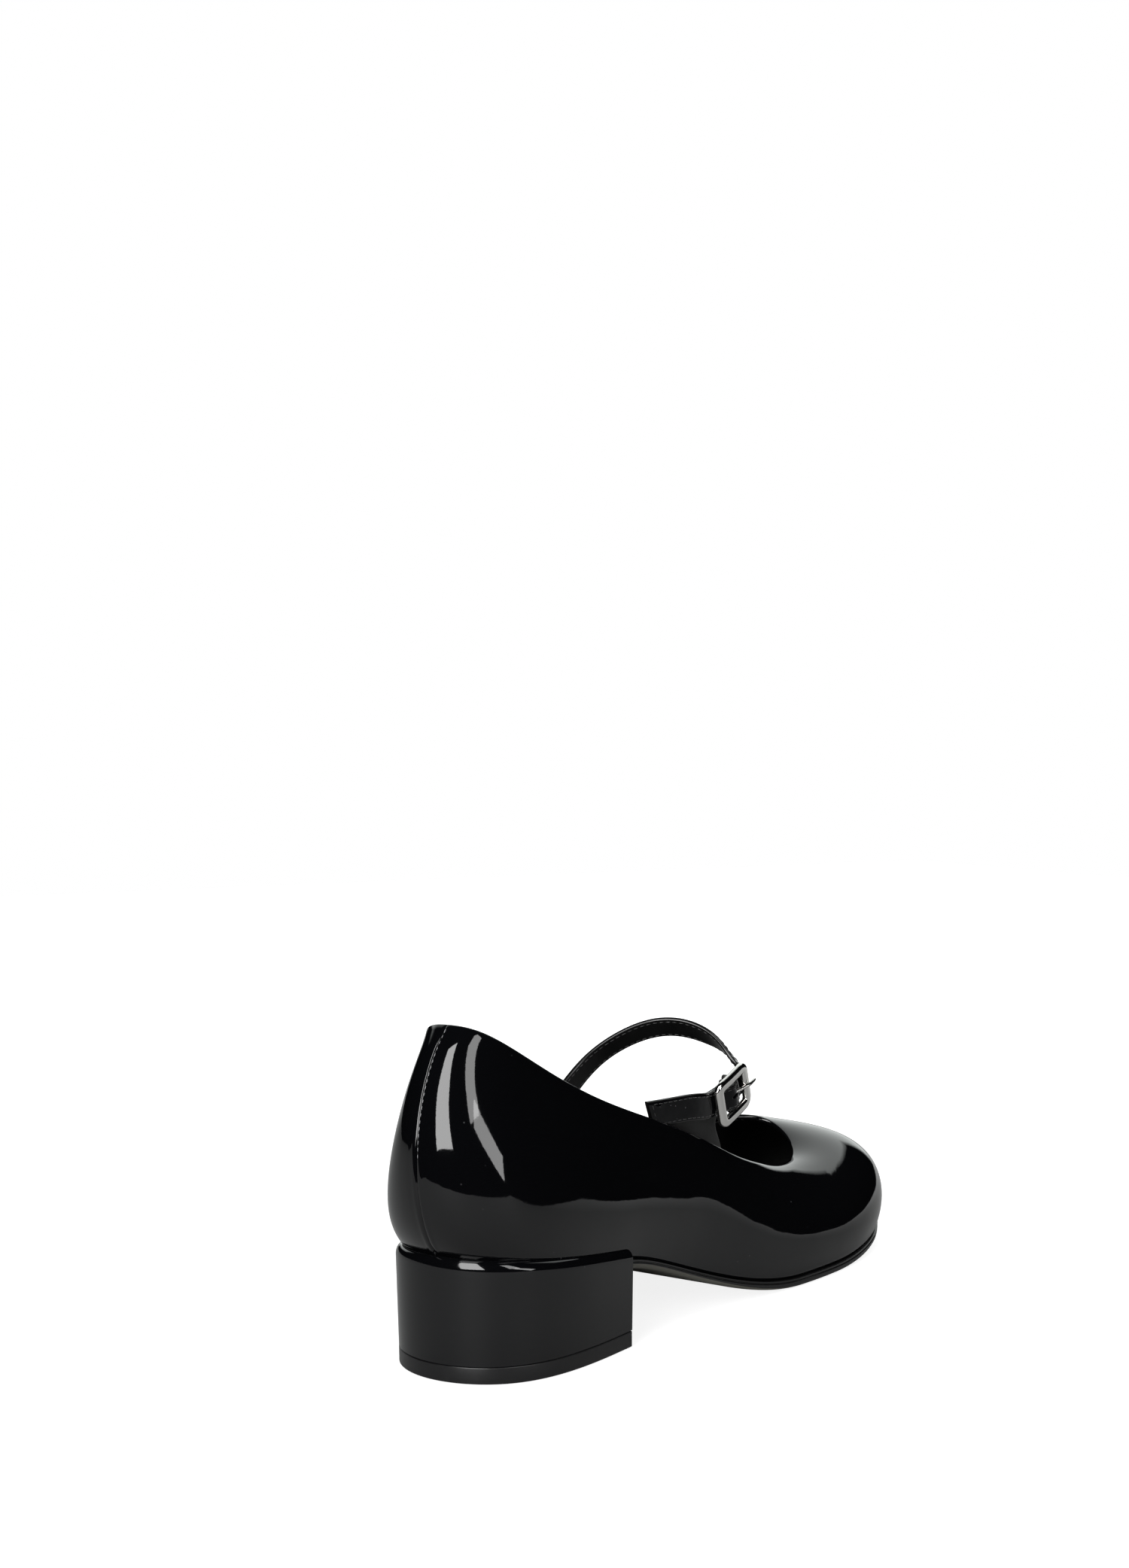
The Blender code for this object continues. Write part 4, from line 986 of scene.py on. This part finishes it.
def lofted(name, places, ups, widths, thickness, crown, mats, nodes):
    """Strap through the places: patent face, matt back and painted edges."""
    sides = unit(np.cross(unit(np.gradient(places, axis=0)), ups))
    rows = []
    for place, side, up, width in zip(places, sides, ups, widths):
        section = band_section(width, thickness, crown)
        rows.append([place + u * up + s * side for u, s, _ in section])
    kinds = [kind for _, _, kind in section]
    steps = len(kinds)
    ring = np.array(rows)
    faces = tube_faces(len(places), steps)

    def pick(k):
        if k >= (len(places) - 1) * steps:
            return 2
        a, b = kinds[k % steps], kinds[(k % steps + 1) % steps]
        return a if a == b else 2

    obj = piece(name, ring, faces, mats, nodes, 50.0, pick)
    return obj, sides


# A stitch from end to end, in its own length and radius: how far along, how thick, how high
STITCH = ((-0.5, 0.35, -0.75), (-0.42, 0.8, -0.25), (-0.25, 1.0, 0.1), (0.0, 1.0, 0.25),
          (0.25, 1.0, 0.1), (0.42, 0.8, -0.25), (0.5, 0.35, -0.75))
STITCH_SIDES = 8


def stitches(name, rows, length, radius, mat, slot_name):
    """Short rounded stitches whose ends dive into the leather; rows hold places, ways and outs."""
    vertices, faces = [], []
    for at, aheads in rows:
        for place, ahead, out in zip(at[:, :3], aheads, unit(at[:, 3:])):
            side = np.cross(ahead, out)
            start = len(vertices)
            for along, size, lift in STITCH:
                for a in np.linspace(0.0, 2 * np.pi, STITCH_SIDES, endpoint=False):
                    vertices.append(place + along * length * ahead + lift * radius * out
                                    + size * radius * (math.cos(a) * side + math.sin(a) * out))
            for face in tube_faces(len(STITCH), STITCH_SIDES):
                faces.append(tuple(start + k for k in face))
    piece(name, vertices, faces, [mat])


def along_line(line, outs, pitch):
    """Even places along a line of points, each with its way out beside it, and the ways ahead there."""
    line = np.concatenate([line, np.broadcast_to(outs, line.shape)], axis=1)
    run = np.concatenate([[0.0], np.cumsum(np.linalg.norm(np.diff(line[:, :3], axis=0), axis=1))])
    count = max(2, int(run[-1] / pitch))
    at = (np.arange(count) + 0.5) * run[-1] / count
    value = np.stack([np.interp(at, run, line[:, k]) for k in range(line.shape[1])], axis=1)
    nudge = 0.3 * pitch
    ahead = np.stack([np.interp(at + nudge, run, line[:, k]) - np.interp(at - nudge, run, line[:, k])
                      for k in range(3)], axis=1)
    return value, unit(ahead)


# Pitch, length and thread radius of each kind of row
SEAM_ROW = (0.0019, 0.0013, 0.00015)
FACING_ROW = (0.0026, 0.0020, 0.00014)
STRAP_ROW = (0.0021, 0.0016, 0.00013)
TAB_ROW = (0.0021, 0.0016, 0.00014)
SEAM_ASIDE = 0.0005        # the back seam's thread lies to the outer side of its groove
SEAM_LIFT = 0.00026
FACING_DOWN = 0.0038       # from the topline's edge to its sewing
STRAP_INSET = 0.0011       # from the band's edges to their sewing
END_INSET = 0.0016         # from the strap's free end to the row across it


def make_back_seam():
    """Thread showing in the back seam, from the knot at the topline down to the counter's hollow."""
    v = np.linspace(0.50, 0.985, 200)
    outs = upper_normal(np.zeros_like(v), v)
    line = wall_points(np.array([0.0]), v[None, :], 0.0)[0]
    line = line + np.array([0.0, -SEAM_ASIDE, 0.0]) + SEAM_LIFT * outs
    row = along_line(line, outs, SEAM_ROW[0])
    # painted highlight: the thread's grey stands in for glints on dark stitches
    stitches("back_seam_thread", [row], *SEAM_ROW[1:], SEAM_THREAD_PAINTED_SHEEN, "upper_patent_leather")


def make_facing_stitches():
    """Sewing through the facing, inside the topline."""
    t = np.linspace(0.0, TURN, 900)
    v = face_levels(t, lambda full: full - FACING_DOWN)
    row = along_line(wall_points(t, v, WALL)[:, 0], -upper_normal(t, v[:, 0]), FACING_ROW[0])
    stitches("facing_stitches", [row], *FACING_ROW[1:], BLACK_THREAD, "upper_patent_leather")


def strap_frames(sections):
    """Distances along the strap with the places and the ways across it, slanted at the free end."""
    place, up, run = strap_path()
    s = np.linspace(0.0, run[-1], sections)
    places, ups = place(s), up(s)
    ahead = unit(np.gradient(places, axis=0))
    ups = unit(ups - ahead * np.sum(ups * ahead, axis=1, keepdims=True))
    fade = np.clip(1.0 - s / (2.0 * STRAP_WIDTH), 0.0, 1.0)
    ups = ups - math.tan(math.radians(STRAP_END_SLANT)) * fade[:, None] * ahead
    return s, places, ups


def pierce(obj, name, middle, size):
    """Oblong hole set in the buckle's own directions."""
    bpy.ops.mesh.primitive_cylinder_add(vertices=32, radius=0.5, depth=1.0)
    cutter = bpy.context.object
    ways = np.array([PRONG_WAY, BAR_WAY, OUT_WAY]).T @ np.diag(size)
    rows = [[float(c) for c in way] + [float(at)] for way, at in zip(ways, middle - ORIGIN)]
    cutter.data.transform(Matrix(rows + [[0.0, 0.0, 0.0, 1.0]]))
    modifier = obj.modifiers.new(name, "BOOLEAN")
    modifier.operation = "DIFFERENCE"
    modifier.object = cutter
    modifier.solver = "EXACT"
    bpy.context.view_layer.update()
    graph = bpy.context.evaluated_depsgraph_get()
    mesh = bpy.data.meshes.new_from_object(obj.evaluated_get(graph))
    obj.modifiers.clear()
    obj.data = mesh
    bpy.data.objects.remove(cutter, do_unlink=True)


def make_strap():
    """Band from its free end through the buckle and over the instep, sewn along both edges."""
    s, places, ups = strap_frames(340)
    strap, sides = lofted("instep_strap", places, ups, np.full(len(s), STRAP_WIDTH), STRAP_THICKNESS,
                          STRAP_CROWN, [STRAP_PATENT, STRAP_BACK, EDGE_PAINT],
                          ["strap"])
    middle = at_buckle(HOLE_ALONG, 0.0, 0.5 * (OVER_BAR + UNDER_END))
    pierce(strap, "prong_hole", middle, (HOLE_LENGTH, 2.0 * (PRONG_RADIUS + GAP), 4.0 * BUCKLE_DEPTH))
    reach, half = 0.5 * STRAP_WIDTH - STRAP_INSET, 0.5 * STRAP_THICKNESS
    keep = s > END_INSET + 0.0002
    for label, face, lift in (("face", 1.0, half + 0.5 * STRAP_CROWN), ("back", -1.0, half)):
        rows = [along_line((places + edge * reach * ups + face * lift * sides)[keep], face * sides[keep],
                           STRAP_ROW[0]) for edge in (1.0, -1.0)]
        stitches("strap_stitches_" + label, rows, *STRAP_ROW[1:], BLACK_THREAD, "strap_patent_leather")
    k = int(np.argmin(np.abs(s - END_INSET)))
    across = np.linspace(-reach, reach, 30)[:, None]
    line = places[k] + across * ups[k] + (half + 0.5 * STRAP_CROWN) * sides[k]
    row = along_line(line, sides[k], STRAP_ROW[0])
    stitches("strap_end_stitches", [row], *STRAP_ROW[1:], BLACK_THREAD, "strap_patent_leather")


def make_tab():
    """Band that holds the bar and goes down behind the strap, sewn inside the outer quarter."""
    turn = np.radians(np.linspace(TAB_WRAP, 0.0, 40))
    half, inner = 0.5 * TAB_WIDTH, -BAR_DROP - LOOP_RADIUS

    def edge(across, behind_bar, below):
        loop = [at_buckle(LOOP_RADIUS * math.sin(a), across, -BAR_DROP - LOOP_RADIUS * math.cos(a))
                for a in turn]
        hanging = np.array([loop[-1], at_buckle(-behind_bar * END_BAR, across, inner)]
                           + [np.array(place) * SHARES_OF for place in below])
        steps = np.arange(len(hanging), dtype=float)
        return np.concatenate([loop[:-1], spline(steps, hanging)(np.linspace(0.0, steps[-1], 60))])

    front, rear = edge(-half, 0.45, TAB_FRONT), edge(half, 0.9, TAB_REAR)
    widths = np.linalg.norm(rear - front, axis=1)
    ups = (rear - front) / widths[:, None]
    places = 0.5 * (front + rear)
    tab, sides = lofted("buckle_tab_loop", places, ups, widths, TAB_THICKNESS, 0.0001,
                        [TAB_PATENT, STRAP_BACK, EDGE_PAINT], ["buckle_tab"])
    middle = at_buckle(0.15 * LOOP_RADIUS, 0.0, -BAR_DROP)
    pierce(tab, "prong_slot", middle, (3.7 * LOOP_RADIUS, 2.0 * (PRONG_RADIUS + GAP), 3.3 * LOOP_RADIUS))
    hanging = slice(42, len(places))
    line = front[hanging] + STRAP_INSET * ups[hanging] + (0.5 * TAB_THICKNESS) * sides[hanging]
    row = along_line(line, sides[hanging], TAB_ROW[0])
    # painted highlight: the thread's grey stands in for glints on dark stitches
    stitches("tab_stitches", [row], *TAB_ROW[1:], SEAM_THREAD_PAINTED_SHEEN, "tab_patent_leather")


def make_frame():
    """Rounded oblong ring with a swelling face."""
    path = np.array(frame_line(14, 10))
    ahead = np.roll(path, -1, axis=0) - np.roll(path, 1, axis=0)
    out = unit(np.stack([ahead[:, 1], -ahead[:, 0]], axis=1))
    half, deep = 0.5 * BUCKLE_WIRE, 0.5 * BUCKLE_DEPTH
    section = []
    for a in np.linspace(0.0, 2 * np.pi, 28, endpoint=False):
        c, s = math.cos(a), math.sin(a)
        reach, lift = np.sign(c) * abs(c) ** 0.62, np.sign(s) * abs(s) ** 0.72
        section.append((reach, lift if lift < 0 else lift * (1.0 - 0.22 * max(0.0, reach) ** 2)))
    ring = []
    for point, normal in zip(path, out):
        flat = [point + reach * half * normal for reach, _ in section]
        lifts = [lift * deep - bow(place[0]) for place, (_, lift) in zip(flat, section)]
        ring.append([at_buckle(*place, lift) for place, lift in zip(flat, lifts)])
    ring = np.array(ring)
    piece("buckle_frame_silver", ring, closed_grid(*ring.shape[:2]), [FRAME_SILVER],
          ["buckle_frame"], 70.0)


ROD_STEPS, ROD_SIDES = 90, 20


def rod(name, points, radii, mat, nodes):
    """Round rod along a smooth line through the points; radii are (share of the run, radius)."""
    points = np.asarray(points)
    run = np.concatenate([[0.0], np.cumsum(np.linalg.norm(np.diff(points, axis=0), axis=1))])
    s = np.linspace(0.0, run[-1], ROD_STEPS)
    line = np.stack([np.interp(s, run, points[:, k]) for k in range(3)], axis=1)
    for _ in range(3):
        line[1:-1] = 0.25 * line[:-2] + 0.5 * line[1:-1] + 0.25 * line[2:]
    radius = np.interp(s / s[-1], *zip(*radii))
    ahead = unit(np.gradient(line, axis=0))
    side = unit(np.cross(ahead, np.broadcast_to(BAR_WAY + 0.3 * OUT_WAY + 0.2 * PRONG_WAY, ahead.shape)))
    up = np.cross(side, ahead)
    rows = [[line[k] + radius[k] * (math.cos(a) * side[k] + math.sin(a) * up[k])
             for a in np.linspace(0.0, 2 * np.pi, ROD_SIDES, endpoint=False)] for k in range(ROD_STEPS)]
    piece(name, np.array(rows), tube_faces(ROD_STEPS, ROD_SIDES), [mat], nodes, 60.0)


def make_bar():
    """Centre bar, cranked back behind the frame."""
    reach = 0.5 * BUCKLE_WIDTH - 0.5 * BUCKLE_WIRE
    inward = ((reach, -0.5 * BUCKLE_DEPTH - REST), (reach, -BAR_DROP + 0.4 * BAR_RADIUS),
              (reach - 0.8 * BAR_RADIUS, -BAR_DROP))
    points = [at_buckle(0.0, -across, out) for across, out in inward]
    points += [at_buckle(0.0, across, out) for across, out in inward[::-1]]
    rod("buckle_bar_steel", points, ((0.0, BAR_RADIUS), (1.0, BAR_RADIUS)), BAR_STEEL,
        ["buckle_bar"])


def make_prong():
    """Prong curled round the bar and resting on the frame, its tip thinned."""
    curl = BAR_RADIUS + GAP + PRONG_RADIUS
    leave = math.radians(PRONG_LEAVE)
    turn = np.linspace(leave - math.radians(PRONG_CURL), leave, 40)
    ring = [at_buckle(curl * math.sin(a), 0.0, -BAR_DROP + curl * math.cos(a)) for a in turn]
    rest = 0.5 * BUCKLE_DEPTH + GAP + PRONG_RADIUS - bow(END_BAR)
    tip = 0.5 * BUCKLE_LENGTH + PRONG_REACH
    straight = [at_buckle(END_BAR, 0.0, rest - 0.00018), at_buckle(tip, 0.0, rest - 0.5 * BUCKLE_ARCH)]
    thinning = ((0.0, 1.0), (0.9, 1.0), (0.975, 0.85), (1.0, 0.45))
    radii = [(share, size * PRONG_RADIUS) for share, size in thinning]
    rod("buckle_prong_silver", ring + straight, radii, PRONG_SILVER,
        ["buckle_prong"])


make_upper_shell()
make_upper_lining()
make_sole()
make_sock()
make_heel_cover()
make_top_lift()
make_back_seam()
make_facing_stitches()
make_strap()
make_tab()
make_frame()
make_bar()
make_prong()


# ---- floor, light and camera
# Edges of the sheet: the way each one faces, and how far it lies from the origin
SHEET = ((-163.0, 0.20), (-65.0, 0.58), (-20.0, 1.50), (60.0, 1.60), (130.0, 1.20))
SHEET_LEVEL = -0.0002      # just under the shoe
FLOOR_GLOW = 0.85          # lifts the floor to the picture's white, for the eye alone
# Painted shade on the floor: its colour runs from dark beside the shoe to pale ahead, standing in for how the
# light on it falls off; it shows mostly in the shoe's reflections
FLOOR_NEAR_PAINTED_SHADE = (0.30, 0.30, 0.30)
FLOOR_FAR_PAINTED_LIGHT = (0.75, 0.75, 0.75)
FLOOR_PAINTED_SHADE_TURN = (0.22, 0.60)  # along x, from the near colour to the far one
BACKDROP = (1.15, 1.20, 1.18)
STUDIO_DARK = (0.0020, 0.0021, 0.0023)
WHITE = (1.0, 1.0, 1.0, 1.0)
# Where the white behind the shoe starts, as the sum of these turns: from and to a height, degrees at each
ROOM_EDGE = ((0.34, 0.55, 12.0, -1.0), (0.56, 0.63, 0.0, -38.0))
ROOM_SOFT = 0.04           # half the width of that edge, radians
ROOM_END = (1.48, 1.30)    # and where it ends on the far side, radians from +X, dark to white
ROOM_END_LOW = (0.12, 0.34, 0.50)    # below these heights it ends sooner, by this many radians
ROOM_TOP = (0.97, 0.90)    # and how high it reaches, dark to white
# Strip lights: from and to (level direction, degrees up), width, radiance
STRIPS = (
    ("strip_rear", (-163.0, 1.0), (-177.0, 58.0), 0.55, 9.5),
    ("strip_side_low", (-88.0, 3.0), (-109.0, 18.0), 0.20, 5.6),
    ("strip_side_high", (-108.5, 16.5), (-116.0, 50.0), 0.30, 5.6),
)
STRIP_DISTANCE = 1.1
STRIP_HEIGHT = 0.07        # the height that degrees up are counted from
VIEW_AZIMUTH = -56.85      # the photograph's side of the shoe, degrees
VIEW_ELEVATION = 12.65
VIEW_DISTANCE = 0.68178
VIEW_MIDDLE = (0.100 - ORIGIN[0], 0.0, 0.040)
VIEW_LENS = 49.116         # on a sensor 36 mm wide
VIEW_SHIFT = (-0.0398, 0.2521)


def make_floor():
    """Pale sheet that the shoe stands on, with painted shade: darker near the shoe and brighter ahead; the
    picture's white runs on beyond it.
    """
    mesh = bpy.data.meshes.new("studio_floor")
    ways = [(math.cos(math.radians(way)), math.sin(math.radians(way)), reach) for way, reach in SHEET]
    corners = [np.linalg.solve([one[:2], other[:2]], [one[2], other[2]])
               for one, other in zip(ways, ways[1:] + ways[:1])]
    mesh.from_pydata([(x, y, SHEET_LEVEL) for x, y in corners], [], [tuple(range(len(corners)))])
    mat, tree, shader = finish("floor_pale_painted_shade", Roughness=0.75)
    place = add(tree, "ShaderNodeSeparateXYZ", {"Vector": on_object(tree)})
    # painted shade: the floor's colour darkens towards the shoe and lightens ahead
    ahead = remap(tree, place.outputs["X"], *FLOOR_PAINTED_SHADE_TURN)
    tree.links.new(tinted(tree, FLOOR_NEAR_PAINTED_SHADE, FLOOR_FAR_PAINTED_LIGHT, ahead), shader.inputs["Base Color"])
    seen = add(tree, "ShaderNodeLightPath")
    glow = product(tree, seen.outputs["Is Camera Ray"], FLOOR_GLOW)
    shader.inputs["Emission Color"].default_value = WHITE
    tree.links.new(glow, shader.inputs["Emission Strength"])
    mesh.materials.append(mat)
    floor = bpy.data.objects.new("studio_floor", mesh)
    bpy.context.scene.collection.objects.link(floor)


def softbox(name, low, high, width, radiance, seen=True):
    """Strip light between two points, facing the shoe."""
    low, high, target = Vector(low), Vector(high), Vector((0.0, 0.0, 0.05))
    light = bpy.data.lights.new(name, "AREA")
    light.shape = "RECTANGLE"
    light.size, light.size_y = width, (high - low).length
    light.energy = radiance * math.pi * light.size * light.size_y
    obj = bpy.data.objects.new(name, light)
    bpy.context.scene.collection.objects.link(obj)
    middle = 0.5 * (low + high)
    up = (high - low).normalized()
    back = middle - target
    back = (back - back.dot(up) * up).normalized()
    side = up.cross(back)
    obj.matrix_world = Matrix(((side.x, up.x, back.x, middle.x), (side.y, up.y, back.y, middle.y),
                               (side.z, up.z, back.z, middle.z), (0, 0, 0, 1)))
    obj.visible_camera = False
    obj.visible_glossy = seen


def toward(azimuth, elevation):
    """A point that lies in a level direction (from +X, turning to +Y) and up, at the strips' distance."""
    a, climb = math.radians(azimuth), math.tan(math.radians(elevation))
    return (STRIP_DISTANCE * math.cos(a), STRIP_DISTANCE * math.sin(a), STRIP_HEIGHT + STRIP_DISTANCE * climb)


def make_world():
    """White behind the shoe and for the eye, dark round the camera and ahead of the toe."""
    world = bpy.data.worlds.new("studio")
    bpy.context.scene.world = world
    world.use_nodes = True
    tree = world.node_tree
    tree.nodes.clear()
    out = tree.nodes.new("ShaderNodeOutputWorld")
    way = add(tree, "ShaderNodeSeparateXYZ", {
        "Vector": add(tree, "ShaderNodeTexCoord").outputs["Generated"]})
    height = way.outputs["Z"]
    azimuth = add(tree, "ShaderNodeMath", {0: way.outputs["Y"], 1: way.outputs["X"]}, operation="ARCTAN2")
    past = azimuth.outputs["Value"]
    for low, high, start, end in ROOM_EDGE:
        edge = remap(tree, height, low, high, math.radians(start), math.radians(end))
        past = add(tree, "ShaderNodeMath", {0: past, 1: edge}, operation="SUBTRACT").outputs["Value"]
    near = remap(tree, past, -ROOM_SOFT, ROOM_SOFT)
    sooner = remap(tree, height, *ROOM_END_LOW, 0.0)
    round_to = add(tree, "ShaderNodeMath", {0: azimuth.outputs["Value"], 1: sooner}, operation="ADD")
    far = remap(tree, round_to.outputs["Value"], *ROOM_END)
    below = remap(tree, height, *ROOM_TOP)
    room = tinted(tree, STUDIO_DARK, BACKDROP, product(tree, product(tree, near, far), below))
    around = add(tree, "ShaderNodeBackground", {"Color": room, "Strength": 1.0})
    white = add(tree, "ShaderNodeBackground", {"Color": WHITE, "Strength": 1.0})
    seen = add(tree, "ShaderNodeLightPath")
    both = add(tree, "ShaderNodeMixShader")
    tree.links.new(seen.outputs["Is Camera Ray"], both.inputs[0])
    tree.links.new(around.outputs[0], both.inputs[1])
    tree.links.new(white.outputs[0], both.inputs[2])
    tree.links.new(both.outputs[0], out.inputs["Surface"])


def make_camera():
    """The photograph's view, the picture taken as 1500 wide and 2084 high."""
    data = bpy.data.cameras.new("camera")
    data.sensor_width = 36.0
    data.lens = VIEW_LENS
    data.shift_x, data.shift_y = VIEW_SHIFT
    data.clip_start, data.clip_end = 0.01, 20.0
    camera = bpy.data.objects.new("camera", data)
    bpy.context.scene.collection.objects.link(camera)
    a, e = math.radians(VIEW_AZIMUTH), math.radians(VIEW_ELEVATION)
    back = Vector((math.sin(a) * math.cos(e), -math.cos(a) * math.cos(e), math.sin(e)))
    camera.location = Vector(VIEW_MIDDLE) + VIEW_DISTANCE * back
    camera.rotation_euler = (-back).to_track_quat("-Z", "Y").to_euler()
    bpy.context.scene.camera = camera


make_floor()
make_world()
for strip, strip_low, strip_high, strip_width, strip_radiance in STRIPS:
    softbox(strip, toward(*strip_low), toward(*strip_high), strip_width, strip_radiance)
softbox("top_fill", (-0.5, 0.3, 1.5), (0.9, 0.3, 1.5), 1.2, 1.6, seen=False)
make_camera()
bpy.context.scene.view_settings.view_transform = "Standard"
